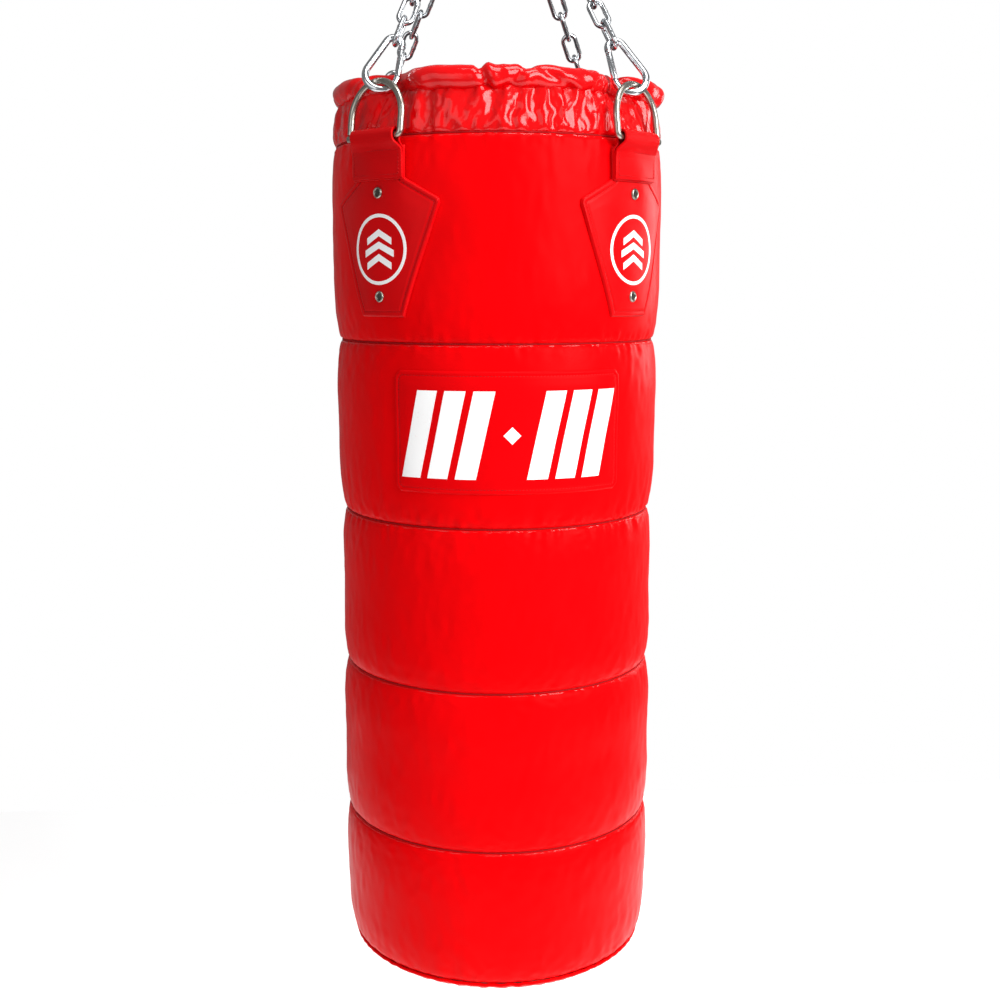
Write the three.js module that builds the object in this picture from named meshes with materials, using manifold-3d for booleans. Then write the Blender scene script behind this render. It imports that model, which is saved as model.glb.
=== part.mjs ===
// Heavy punching bag hanging on four chains, millimetres, +Z up.
// The origin is the inner top of the upper eye, where the supporting hook bears.
// The front of the bag faces -Y. Azimuths are measured from the front towards +X.

import * as THREE from "three";
import { mergeVertices } from "three/addons/utils/BufferGeometryUtils.js";
import Module from "manifold-3d";

const wasm = await Module();
wasm.setup();

// ---------- driving dimensions ----------

const GAP = 0.3; // clearance between touching pieces
const AROUND = 40; // facets round the bag
const AROUND_RIM = 56; // and round its dented rim
const DEG = Math.PI / 180;

const SEAM_C_Z = -900; // height of the middle seam; bag heights below are counted from it

// Outer skin of the five cover panels: [height, radius], top seam first.
const PANEL_SKINS = [
  [[401.2, 180.4], [388, 182.0], [300, 183.2], [208, 180.4], [192.6, 177.6]],
  [[191.8, 177.6], [176, 180.0], [96, 180.8], [15, 177.8], [0.4, 174.8]],
  [[-0.4, 174.8], [-14, 176.8], [-88, 177.6], [-164, 177.2], [-177.6, 175.2]],
  [[-178.4, 175.2], [-192, 178.0], [-266, 178.8], [-342, 178.2], [-355.6, 176.4]],
  [[-356.4, 176.4], [-370, 178.2], [-450, 178.0], [-498, 174.2], [-510.4, 171.6]],
];
const SKIN_THICK = 2.4;
const FOAM_INNER_R = 160;
const FOAM_TOP_Z = 422;
const FOAM_FLOOR_Z = -508;
const LINER_THICK = 1.2;
const CORE_TOP_Z = 418;

const BASE_FLAT_R = 142;
const BASE_Z = -525;
const WELT_R = 170.4;
const WELT_Z = -512.7;
const WELT_WIRE_R = 1.9;

const COLLAR_SKIN = [[401.8, 180.4], [420, 181.2], [442.6, 177.6]];
const ROLL_R = 169;
const ROLL_TUBE_R = 12;
const ROLL_Z = 455;
const LID_Z = 434;
const LID_THICK = 2.4;

// The rim is pushed in behind each hanger.
const DENT_DEPTH = 21;
const DENT_HALF_ANGLE = 17;
const DENT_START_Z = 404;
const DENT_FULL_Z = 446;

const ZIP_HALF_LENGTH = 112;
const ZIP_TAPE_HALF_WIDTH = 12;
const ZIP_SLIDER_X = 100;
const ZIP_PULL_LENGTH = 26;
const ZIP_PULL_DROOP = 12.5;

const LABEL_HALF_ARC = 127;
const LABEL_LOW_Z = 38;
const LABEL_HIGH_Z = 165;
const LABEL_THICK = 1.6;

const HANGERS = [
  { name: "front_left", azimuth: -45, ringAngle: -28, gateSide: 1 },
  { name: "front_right", azimuth: 45, ringAngle: 28, gateSide: -1 },
  { name: "back_right", azimuth: 135, ringAngle: 11, gateSide: -1 },
  { name: "back_left", azimuth: -135, ringAngle: -11, gateSide: 1 },
];
const PATCH_THICK = 4;
const PATCH_OUTLINE = [
  [-30, 219], [30, 219], [72.5, 333], [71.5, 338], [33, 359], [32, 391.5],
  [-32, 391.5], [-33, 359], [-71.5, 338], [-72.5, 333],
];
const RIVET_HEIGHTS = { upper: 345, lower: 240 };
const RIVET_HEAD_R = 5;
const RIVET_HEAD_H = 3.2;
const RIVET_SHANK_R = 2.2;
const RIVET_SHANK_IN_R = 172;

const RING_BAR = { radius: 191, z: 400 }; // centre of the D-ring's straight bar
const RING_WIRE_R = 3.5;
const RING_HALF_WIDTH = 35.5;
const RING_CORNER_R = 5;
const RING_SIDE_TOP = 20;
const RING_HEIGHT = 55;
const RING_LEAN = 7;
const STRAP_HALF_WIDTH = 30;
const STRAP_THICK = 3;
const STRAP_BORE_R = 3.9;
const STRAP_LOW_Z = 357;
const STRAP_BACK_R = 187.6;

const HOOK_WIRE_R = 3.7;
const HOOK_SEAT_GAP = 1.2; // between the hook and the D-ring, whose bends cross at a slant
const HOOK_WIDE_R = 16.3;
const HOOK_NARROW_R = 8.5;
const HOOK_LENGTH = 62.6; // between the wire centres of its two ends
const HOOK_PIVOT_INSET = 5;
const GATE_TIP_GAP = 0.8;
const LUG_HALF_THICK = 1.3;
const LUG_R = 2.9;
const FORK_HALF_SLOT = 1.65;
const HOOK_PIN_R = 1.1;
const HOOK_PIN_BORE_R = 1.15;

const LINK_COUNT = 11;
const LINK_WIRE_R = 2.5;
const LINK_OUTER_WIDTH = 19.5;
const LINK_BITE = 0.5; // overlap that joins the links into one body
const FIRST_LINK_GAP = 0.8;

const CARRIER = { z: -136, radius: 29, wire: 3.5 }; // suspension ring, upright across the bag
const LOWER_EYE = { radius: 14, wire: 4 };
const HOUSING = { low: -82, high: -44, radius: 17, boreR: 6.6, cavityR: 12, cavityLow: -74, cavityHigh: -52 };
const UPPER_EYE = { radius: 19, wire: 5 };
const STEM_R = 6;
const STEM_HEAD = { radius: 10.5, low: -66, high: -59 };

// ---------- materials ----------

const FINISHES = {
  redLeather: { color: 0xe30613, roughness: 0.32, metalness: 0 },
  redLabel: { color: 0xdc0a16, roughness: 0.36, metalness: 0 },
  redPatch: { color: 0xc80d18, roughness: 0.42, metalness: 0 },
  redStrap: { color: 0xb90d17, roughness: 0.48, metalness: 0 },
  foam: { color: 0xd8d2c4, roughness: 0.9, metalness: 0 },
  canvas: { color: 0xb9ae94, roughness: 0.95, metalness: 0 },
  filling: { color: 0x8f8a86, roughness: 1, metalness: 0 },
  lining: { color: 0x2a2a2c, roughness: 0.85, metalness: 0 },
  zipMetal: { color: 0x9b9b98, roughness: 0.35, metalness: 1 },
  zinc: { color: 0xcfd2d4, roughness: 0.24, metalness: 1 },
  nickel: { color: 0xa7a39b, roughness: 0.34, metalness: 1 },
  steel: { color: 0xb4b6b8, roughness: 0.3, metalness: 1 },
};

const part = new THREE.Group();
part.name = "hanging_punching_bag";

// Adds one named mesh to the part.
function add(name, geometry, finish) {
  const mesh = new THREE.Mesh(geometry, new THREE.MeshStandardMaterial(FINISHES[finish]));
  mesh.name = name;
  part.add(mesh);
}

// ---------- booleans ----------

// Turns a closed three.js geometry into a manifold solid.
function toSolid(geometry) {
  const bare = geometry.clone();
  bare.deleteAttribute("normal");
  bare.deleteAttribute("uv");
  const welded = mergeVertices(bare, 1e-4);
  return new wasm.Manifold(
    new wasm.Mesh({
      numProp: 3,
      vertProperties: Float32Array.from(welded.attributes.position.array),
      triVerts: Uint32Array.from(welded.index.array),
    }),
  );
}

// Turns a manifold solid back into a three.js geometry.
function toGeometry(solid) {
  const out = solid.getMesh();
  const flat = new THREE.BufferGeometry();
  flat.setAttribute("position", new THREE.BufferAttribute(out.vertProperties, out.numProp));
  flat.setIndex(new THREE.BufferAttribute(out.triVerts, 1));
  flat.computeVertexNormals();
  return flat;
}

// Joins a list of closed geometries into one.
function join(geometries) {
  return geometries.map(toSolid).reduce((whole, next) => whole.add(next));
}

// ---------- shapes ----------

// Revolves a closed [radius, height] profile, listed up the outside, round the Z axis.
function revolve(profile, facets = AROUND) {
  const points = profile.map(([radius, z]) => new THREE.Vector2(radius, z));
  return new THREE.LatheGeometry(points, facets).rotateX(Math.PI / 2);
}

// Adds the last profile point that closes a ring-shaped section.
function closed(profile) {
  return [...profile, profile[0]];
}

// Raises bag heights into the part's frame.
function atBag([radius, z]) {
  return [radius, z + SEAM_C_Z];
}

// Bends a torus so that its tube follows a flat closed path in the XY plane.
function wireLoop(path, wireRadius, sides = 8) {
  const loop = new THREE.TorusGeometry(10, wireRadius, sides, path.length);
  const position = loop.attributes.position;
  const stations = path.length + 1;
  for (let i = 0; i < position.count; i++) {
    const station = i % stations;
    const side = Math.floor(i / stations) / sides;
    const here = path[station % path.length];
    const before = path[(station - 1 + path.length) % path.length];
    const after = path[(station + 1) % path.length];
    const incoming = here.clone().sub(before).normalize();
    const outgoing = after.clone().sub(here).normalize();
    const forward = incoming.clone().add(outgoing).normalize();
    const stretch = 1 / Math.max(0.5, forward.dot(incoming));
    const outward = new THREE.Vector2(forward.y, -forward.x);
    const across = wireRadius * stretch * Math.cos(side * 2 * Math.PI);
    const lift = wireRadius * Math.sin(side * 2 * Math.PI);
    position.setXYZ(i, here.x + outward.x * across, here.y + outward.y * across, lift);
  }
  return loop;
}

// Runs a round wire along an open three.js curve.
function wireAlong(curve, wireRadius, steps, sides = 8) {
  const section = new THREE.Shape();
  section.absarc(0, 0, wireRadius, 0, 2 * Math.PI, false);
  return new THREE.ExtrudeGeometry(section, {
    steps,
    curveSegments: sides / 2,
    bevelEnabled: false,
    extrudePath: curve,
  });
}

// Points on an arc from one angle to another, in degrees, both ends included.
function arc(x, y, radius, from, to, steps) {
  const points = [];
  for (let i = 0; i <= steps; i++) {
    const angle = (from + ((to - from) * i) / steps) * DEG;
    points.push(new THREE.Vector2(x + radius * Math.cos(angle), y + radius * Math.sin(angle)));
  }
  return points;
}

// Matrix that carries local axes X, Y, Z onto three directions at a place.
function placed(alongX, alongY, alongZ, place) {
  return new THREE.Matrix4().makeBasis(alongX, alongY, alongZ).setPosition(place);
}

// ---------- the bag's own body ----------

// Section of one cover band: bulging outside, straighter inside.
function panelProfile(skin) {
  const bottomUp = [...skin].reverse().map(([z, r]) => [r, z]);
  const inside = [skin[0], skin[4]].map(([z, r]) => [r - SKIN_THICK, z]);
  return closed([...bottomUp, ...inside]).map(atBag);
}

// Foam sleeve whose outside follows the inside of the cover.
function foamProfile() {
  const stations = [];
  for (const skin of [...PANEL_SKINS].reverse()) {
    const [z, r] = skin[4];
    stations.push([r - SKIN_THICK - GAP, z]);
  }
  const topSkin = PANEL_SKINS[0][0];
  stations.push([topSkin[1] - SKIN_THICK - GAP, topSkin[0]]);
  const floor = BASE_Z + SKIN_THICK + GAP;
  return [
    [0, floor],
    [BASE_FLAT_R, floor],
    [155, -520.2],
    ...stations,
    [164, FOAM_TOP_Z],
    [FOAM_INNER_R, FOAM_TOP_Z],
    [FOAM_INNER_R, FOAM_FLOOR_Z],
    [0, FOAM_FLOOR_Z],
  ].map(atBag);
}

function addFilling() {
  const linerR = FOAM_INNER_R - GAP;
  const linerFloor = FOAM_FLOOR_Z + GAP;
  const inner = linerR - LINER_THICK;
  const liner = [
    [0, linerFloor],
    [linerR, linerFloor],
    [linerR, FOAM_TOP_Z],
    [inner, FOAM_TOP_Z],
    [inner, linerFloor + LINER_THICK],
    [0, linerFloor + LINER_THICK],
  ];
  const core = [
    [0, linerFloor + LINER_THICK + GAP],
    [inner - GAP, linerFloor + LINER_THICK + GAP],
    [inner - GAP, CORE_TOP_Z - 8],
    [inner - 14, CORE_TOP_Z],
    [0, CORE_TOP_Z],
  ];
  add("stuffing_core", revolve(core.map(atBag)), "filling");
  add("inner_liner", revolve(liner.map(atBag)), "canvas");
}

function addBase() {
  const profile = [
    [0, BASE_Z],
    [BASE_FLAT_R, BASE_Z],
    [158, -523],
    [166, -518.6],
    [169.4, -514.9],
    [167, -514.9],
    [157, -520.7],
    [BASE_FLAT_R, BASE_Z + SKIN_THICK],
    [0, BASE_Z + SKIN_THICK],
  ];
  add("base_panel", revolve(profile.map(atBag)), "redLeather");
  const welt = new THREE.TorusGeometry(WELT_R, WELT_WIRE_R, 5, AROUND);
  add("base_welt", welt.translate(0, 0, WELT_Z + SEAM_C_Z), "redLeather");
}

// Share of the dent that applies at one azimuth, 0 to 1.
function dentShare(azimuth) {
  const fromHanger = Math.abs((((azimuth % 90) + 90) % 90) - 45);
  if (fromHanger >= DENT_HALF_ANGLE) {
    return 0;
  }
  return 0.5 + 0.5 * Math.cos((Math.PI * fromHanger) / DENT_HALF_ANGLE);
}

// Pushes the top of the bag inwards behind the four hangers.
function pressIn(geometry) {
  const position = geometry.attributes.position;
  for (let i = 0; i < position.count; i++) {
    const x = position.getX(i);
    const y = position.getY(i);
    const z = position.getZ(i) - SEAM_C_Z;
    const radius = Math.hypot(x, y);
    const rise = THREE.MathUtils.smoothstep(z, DENT_START_Z, DENT_FULL_Z);
    const azimuth = Math.atan2(x, -y) / DEG;
    const push = DENT_DEPTH * dentShare(azimuth) * rise;
    const scale = radius > 1 ? 1 - push / COLLAR_SKIN[0][1] : 1;
    position.setXY(i, x * scale, y * scale);
  }
  geometry.computeVertexNormals();
  return geometry;
}

function addTop() {
  const outside = COLLAR_SKIN.map(([z, r]) => [r, z]);
  const inside = [...COLLAR_SKIN].reverse().map(([z, r]) => [r - SKIN_THICK, z]);
  const collar = closed([...outside, ...inside]).map(atBag);
  add("collar_band", pressIn(revolve(collar, AROUND_RIM)), "redLeather");

  const roll = new THREE.TorusGeometry(ROLL_R, ROLL_TUBE_R, 8, AROUND_RIM);
  add("rim_roll", pressIn(roll.translate(0, 0, ROLL_Z + SEAM_C_Z)), "redLeather");

  const lidR = COLLAR_SKIN[2][1] - SKIN_THICK - 1;
  const lid = [
    [0, LID_Z],
    [lidR, LID_Z],
    [lidR, LID_Z + LID_THICK],
    [0, LID_Z + LID_THICK],
  ];
  add("top_lid", pressIn(revolve(lid.map(atBag), AROUND_RIM)), "lining");
}

function addZip() {
  const tapeLow = LID_Z + LID_THICK + GAP + SEAM_C_Z;
  const tapeThick = 1.4;
  const tape = new THREE.BoxGeometry(2 * ZIP_HALF_LENGTH, 2 * ZIP_TAPE_HALF_WIDTH, tapeThick);
  add("zip_tape", tape.translate(0, 0, tapeLow + tapeThick / 2), "lining");

  const sliderLow = tapeLow + tapeThick + GAP;
  const sliderThick = 4;
  const barZ = sliderLow + sliderThick + 3.2;
  const body = new THREE.BoxGeometry(15, 11, sliderThick).translate(
    ZIP_SLIDER_X, 0, sliderLow + sliderThick / 2,
  );
  const posts = [-1, 1].map((side) =>
    new THREE.BoxGeometry(3.4, 1.4, 6).translate(ZIP_SLIDER_X, side * 3.9, sliderLow + sliderThick + 2),
  );
  const bar = new THREE.CylinderGeometry(0.8, 0.8, 9, 8).translate(ZIP_SLIDER_X, 0, barZ);
  add("zip_slider", toGeometry(join([body, ...posts, bar])), "zipMetal");

  const outline = new THREE.Shape();
  outline.moveTo(0, -2.6);
  outline.lineTo(-ZIP_PULL_LENGTH + 4, -4);
  outline.absarc(-ZIP_PULL_LENGTH + 4, 0, 4, -Math.PI / 2, Math.PI / 2, true);
  outline.lineTo(0, 2.6);
  outline.lineTo(0, -2.6);
  const tab = new THREE.ExtrudeGeometry(outline, { depth: 1.4, bevelEnabled: false, curveSegments: 6 });
  tab.translate(0, 0, -0.7);
  const eye = new THREE.CylinderGeometry(2, 2, 5.2, 12);
  const hole = new THREE.CylinderGeometry(1.1, 1.1, 8, 12);
  const window = new THREE.CylinderGeometry(1.6, 1.6, 6, 12).rotateX(Math.PI / 2);
  window.translate(-ZIP_PULL_LENGTH + 5, 0, 0);
  const pull = join([tab, eye]).subtract(toSolid(hole)).subtract(toSolid(window));
  const shape = toGeometry(pull).rotateY(-ZIP_PULL_DROOP * DEG);
  add("zip_pull", shape.translate(ZIP_SLIDER_X, 0, barZ), "zipMetal");
}

// ---------- patches on the cover ----------

// Radius of a cover band's skin at one height.
function skinRadius(skin, z) {
  const lower = skin.findIndex((station, i) => i > 0 && station[0] <= z);
  const [z0, r0] = skin[lower - 1];
  const [z1, r1] = skin[lower];
  return r0 + ((r1 - r0) * (z - z0)) / (z1 - z0);
}

// Shell of even thickness that lies on the outside of one cover band.
function skinShell(skin, thickness, highZ, lowZ) {
  const stations = skin.filter(([z]) => z < highZ && z > lowZ);
  const line = [
    [skinRadius(skin, lowZ), lowZ],
    ...stations.reverse().map(([z, r]) => [r, z]),
    [skinRadius(skin, highZ), highZ],
  ];
  const outside = line.map(([r, z]) => [r + GAP + thickness, z]);
  const inside = line.map(([r, z]) => [r + GAP, z]).reverse();
  return toSolid(revolve(closed([...outside, ...inside]).map(atBag)));
}

// Upright cutter with the given [arc length, height] outline, facing the front of the bag.
function outlineCutter(outline, radius) {
  const points = outline.map(([along, z]) => {
    return new THREE.Vector2(radius * Math.sin(along / radius), z + SEAM_C_Z);
  });
  const block = new THREE.ExtrudeGeometry(new THREE.Shape(points), { depth: 150, bevelEnabled: false });
  return block.rotateX(Math.PI / 2).translate(0, -60, 0);
}

// Round bar along the outward direction of one hanger.
function rivetCutter(z, radius) {
  const cutter = new THREE.CylinderGeometry(radius, radius, 40, 8);
  return cutter.translate(0, -(RIVET_SHANK_IN_R - GAP + 20), z + SEAM_C_Z);
}

function addLabel() {
  const shell = skinShell(PANEL_SKINS[1], LABEL_THICK, LABEL_HIGH_Z + 5, LABEL_LOW_Z - 5);
  const corner = 6;
  const outline = [
    [-LABEL_HALF_ARC, LABEL_LOW_Z + corner],
    [-LABEL_HALF_ARC + corner, LABEL_LOW_Z],
    [LABEL_HALF_ARC - corner, LABEL_LOW_Z],
    [LABEL_HALF_ARC, LABEL_LOW_Z + corner],
    [LABEL_HALF_ARC, LABEL_HIGH_Z - corner],
    [LABEL_HALF_ARC - corner, LABEL_HIGH_Z],
    [-LABEL_HALF_ARC + corner, LABEL_HIGH_Z],
    [-LABEL_HALF_ARC, LABEL_HIGH_Z - corner],
  ];
  const skinR = PANEL_SKINS[1][2][1];
  const cutter = toSolid(outlineCutter(outline, skinR));
  add("label_patch", toGeometry(shell.intersect(cutter)), "redLabel");
}

// ---------- hangers ----------

function addCoverAndPatches() {
  const cuts = [];
  const patchShell = skinShell(PANEL_SKINS[0], PATCH_THICK, 398, 212);
  for (const hanger of HANGERS) {
    const turn = hanger.azimuth * DEG;
    const skinR = PANEL_SKINS[0][2][1];
    const outline = outlineCutter(PATCH_OUTLINE, skinR).rotateZ(turn);
    let patch = patchShell.intersect(toSolid(outline));
    for (const height of Object.values(RIVET_HEIGHTS)) {
      const cutter = toSolid(rivetCutter(height, RIVET_SHANK_R + GAP).rotateZ(turn));
      patch = patch.subtract(cutter);
      cuts.push(cutter);
    }
    add(`hanger_patch_${hanger.name}`, toGeometry(patch), "redPatch");
  }
  const holes = cuts.reduce((whole, next) => whole.add(next));
  PANEL_SKINS.forEach((skin, i) => {
    const panel = revolve(panelProfile(skin));
    const shape = i === 0 ? toGeometry(toSolid(panel).subtract(holes)) : panel;
    add(`cover_panel_${i + 1}`, shape, "redLeather");
  });
  const foam = toSolid(revolve(foamProfile())).subtract(holes);
  add("foam_wrap", toGeometry(foam), "foam");
}

function addRivets(hanger) {
  for (const [place, height] of Object.entries(RIVET_HEIGHTS)) {
    const seat = skinRadius(PANEL_SKINS[0], height) + 2 * GAP + PATCH_THICK;
    const length = seat - RIVET_SHANK_IN_R;
    const profile = [
      [0, -length],
      [RIVET_SHANK_R, -length],
      [RIVET_SHANK_R, 0],
      [RIVET_HEAD_R, 0],
      [RIVET_HEAD_R - 0.5, RIVET_HEAD_H * 0.5],
      [RIVET_HEAD_R * 0.6, RIVET_HEAD_H * 0.9],
      [0, RIVET_HEAD_H],
    ];
    const rivet = revolve(profile, 10).rotateX(Math.PI / 2);
    rivet.translate(0, -seat, height + SEAM_C_Z).rotateZ(hanger.azimuth * DEG);
    add(`rivet_${place}_${hanger.name}`, rivet, "nickel");
  }
}

function addStrap(hanger) {
  const section = new THREE.Shape();
  const { radius, z } = RING_BAR;
  const outer = STRAP_BORE_R + STRAP_THICK;
  const tongueOut = STRAP_BACK_R + 2 * STRAP_THICK - 1;
  const from = Math.atan2(-Math.sqrt(outer ** 2 - (tongueOut - radius) ** 2), tongueOut - radius);
  const to = Math.atan2(-Math.sqrt(outer ** 2 - (STRAP_BACK_R - radius) ** 2), STRAP_BACK_R - radius);
  section.moveTo(STRAP_BACK_R, STRAP_LOW_Z);
  section.lineTo(tongueOut, STRAP_LOW_Z);
  section.absarc(radius, z, outer, from, to + 2 * Math.PI, false);
  section.lineTo(STRAP_BACK_R, STRAP_LOW_Z);
  const bore = new THREE.Path();
  bore.absarc(radius, z, STRAP_BORE_R, 0, 2 * Math.PI, true);
  section.holes.push(bore);
  const strap = new THREE.ExtrudeGeometry(section, {
    depth: 2 * STRAP_HALF_WIDTH,
    bevelEnabled: false,
    curveSegments: 8,
  });
  // section X points out of the bag and section Y points up
  const outward = new THREE.Vector3(0, -1, 0);
  const up = new THREE.Vector3(0, 0, 1);
  const side = new THREE.Vector3().crossVectors(outward, up);
  const start = side.clone().multiplyScalar(-STRAP_HALF_WIDTH).setZ(SEAM_C_Z);
  strap.applyMatrix4(placed(outward, up, side, start)).rotateZ(hanger.azimuth * DEG);
  add(`hanger_strap_${hanger.name}`, strap, "redStrap");
}

function addDRing(hanger) {
  const w = RING_HALF_WIDTH;
  const c = RING_CORNER_R;
  const bow = [];
  const bowSteps = 12;
  for (let i = 0; i <= bowSteps; i++) {
    const angle = (Math.PI * i) / bowSteps;
    bow.push(new THREE.Vector2(w * Math.cos(angle), RING_SIDE_TOP + (RING_HEIGHT - RING_SIDE_TOP) * Math.sin(angle)));
  }
  const path = [...arc(-w + c, c, c, 180, 270, 2), ...arc(w - c, c, c, 270, 360, 2), ...bow];
  const ring = wireLoop(path, RING_WIRE_R);
  // path X runs along the bar and path Y climbs, leaning into the bag
  const along = new THREE.Vector3(1, 0, 0);
  const climb = new THREE.Vector3(0, Math.sin(RING_LEAN * DEG), Math.cos(RING_LEAN * DEG));
  const normal = new THREE.Vector3().crossVectors(along, climb);
  const bar = new THREE.Vector3(0, -RING_BAR.radius, RING_BAR.z + SEAM_C_Z);
  ring.applyMatrix4(placed(along, climb, normal, bar)).rotateZ(hanger.azimuth * DEG);
  add(`d_ring_${hanger.name}`, ring, "nickel");
}

// Line from the top of a D-ring to the suspension ring's wire, with its cross directions.
function chainLine(hanger) {
  const azimuth = hanger.azimuth * DEG;
  const reach = RING_BAR.radius - RING_HEIGHT * Math.sin(RING_LEAN * DEG);
  const height = RING_BAR.z + RING_HEIGHT * Math.cos(RING_LEAN * DEG) + SEAM_C_Z;
  const foot = new THREE.Vector3(reach * Math.sin(azimuth), -reach * Math.cos(azimuth), height);
  const ringAngle = hanger.ringAngle * DEG;
  const head = new THREE.Vector3(
    CARRIER.radius * Math.sin(ringAngle), 0, CARRIER.z - CARRIER.radius * Math.cos(ringAngle),
  );
  const along = head.clone().sub(foot);
  const length = along.length();
  along.normalize();
  const squared = (direction) =>
    direction.clone().addScaledVector(along, -direction.dot(along)).normalize();
  const hookAcross = squared(new THREE.Vector3(1, 0, 0));
  const headAcross = squared(new THREE.Vector3(Math.cos(ringAngle), 0, Math.sin(ringAngle)));
  return { foot, along, length, hookAcross, headAcross };
}

// Pear-shaped snap hook: its local X runs across, Y along the chain, Z through it.
function addCarabiner(hanger) {
  const line = chainLine(hanger);
  const normal = new THREE.Vector3().crossVectors(line.hookAcross, line.along);
  const place = placed(line.hookAcross, line.along, normal, line.foot);
  const low = -(RING_WIRE_R + HOOK_WIRE_R + HOOK_SEAT_GAP);
  const wideY = low + HOOK_WIDE_R;
  const narrowY = low + HOOK_LENGTH - HOOK_NARROW_R;
  const taper = Math.asin((HOOK_WIDE_R - HOOK_NARROW_R) / (narrowY - wideY)) / DEG;
  const wideEnd = arc(0, wideY, HOOK_WIDE_R, taper, -180 - taper, 12);
  const narrowEnd = arc(0, narrowY, HOOK_NARROW_R, 180 - taper, taper, 8);
  const path = [...wideEnd, ...narrowEnd].map((p) => new THREE.Vector3(p.x, p.y, 0));
  const curve = new THREE.CatmullRomCurve3(path, false, "centripetal");
  const wire = wireAlong(curve, HOOK_WIRE_R, 22, 6);

  const nose = wideEnd[0];
  const top = narrowEnd[narrowEnd.length - 1];
  const slope = nose.clone().sub(top).normalize();
  const pivot = top.clone().addScaledVector(slope, HOOK_PIVOT_INSET);
  const tipReach = nose.distanceTo(pivot) - GATE_TIP_GAP;
  const turn = Math.atan2(slope.y, slope.x);

  // pivot frame: X runs from the pivot to the nose
  const toPivot = (geometry) => geometry.rotateZ(turn).translate(pivot.x, pivot.y, 0);
  const lug = [
    new THREE.BoxGeometry(HOOK_PIVOT_INSET + 1, 2 * LUG_R, 2 * LUG_HALF_THICK).translate(
      -(HOOK_PIVOT_INSET + 1) / 2, 0, 0,
    ),
    new THREE.CylinderGeometry(LUG_R, LUG_R, 2 * LUG_HALF_THICK, 16).rotateX(Math.PI / 2),
  ].map(toPivot);
  const bore = toPivot(
    new THREE.CylinderGeometry(HOOK_PIN_BORE_R, HOOK_PIN_BORE_R, 12, 12).rotateX(Math.PI / 2),
  );
  const body = join([wire, ...lug]).subtract(toSolid(bore));

  const gateLength = tipReach + 3;
  const gateBar = new THREE.CylinderGeometry(HOOK_WIRE_R - 0.3, HOOK_WIRE_R - 0.3, gateLength, 10);
  gateBar.rotateZ(-Math.PI / 2).translate(gateLength / 2 - 3, 0, 0);
  const slot = new THREE.BoxGeometry(8, 10, 2 * FORK_HALF_SLOT).translate(-0.2, 0, 0);
  const gate = toSolid(toPivot(gateBar)).subtract(toSolid(toPivot(slot))).subtract(toSolid(bore));
  const pin = toPivot(
    new THREE.CylinderGeometry(HOOK_PIN_R, HOOK_PIN_R, 2 * HOOK_WIRE_R - 1, 12).rotateX(Math.PI / 2),
  );

  const pieces = { body: toGeometry(body), gate: toGeometry(gate), pin };
  for (const [piece, geometry] of Object.entries(pieces)) {
    const turned = hanger.gateSide < 0 ? geometry.rotateY(Math.PI) : geometry;
    add(`carabiner_${piece}_${hanger.name}`, turned.applyMatrix4(place), "zinc");
  }
}

// One welded link with its long axis on Y, lying in the XY plane.
function linkShape(innerLength) {
  const segments = 8;
  const bend = (LINK_OUTER_WIDTH / 2 - LINK_WIRE_R) / Math.cos(Math.PI / segments);
  const link = new THREE.TorusGeometry(bend, LINK_WIRE_R, 6, segments).rotateZ(Math.PI / segments);
  const position = link.attributes.position;
  const straight = innerLength / 2 + 2 * LINK_WIRE_R - LINK_OUTER_WIDTH / 2;
  for (let i = 0; i < position.count; i++) {
    const y = position.getY(i);
    position.setY(i, y + Math.sign(y) * straight);
  }
  return link;
}

function addChain(hanger) {
  const line = chainLine(hanger);
  const hookBearing = HOOK_LENGTH - RING_WIRE_R - 2 * HOOK_WIRE_R - HOOK_SEAT_GAP - GAP;
  const headBearing = line.length + CARRIER.wire + FIRST_LINK_GAP;
  const pitch = (headBearing - hookBearing) / LINK_COUNT;
  const links = [];
  for (let i = 0; i < LINK_COUNT; i++) {
    const share = i / (LINK_COUNT - 1);
    const across = line.hookAcross.clone().lerp(line.headAcross, share).normalize();
    const through = new THREE.Vector3().crossVectors(across, line.along).normalize();
    const centre = line.foot.clone().addScaledVector(line.along, hookBearing + pitch * (i + 0.5));
    const flat = i % 2 === 0 ? through : across;
    const normal = new THREE.Vector3().crossVectors(flat, line.along);
    links.push(linkShape(pitch - LINK_BITE).applyMatrix4(placed(flat, line.along, normal, centre)));
  }
  add(`chain_${hanger.name}`, toGeometry(join(links)), "zinc");
}

// ---------- suspension ----------

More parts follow.
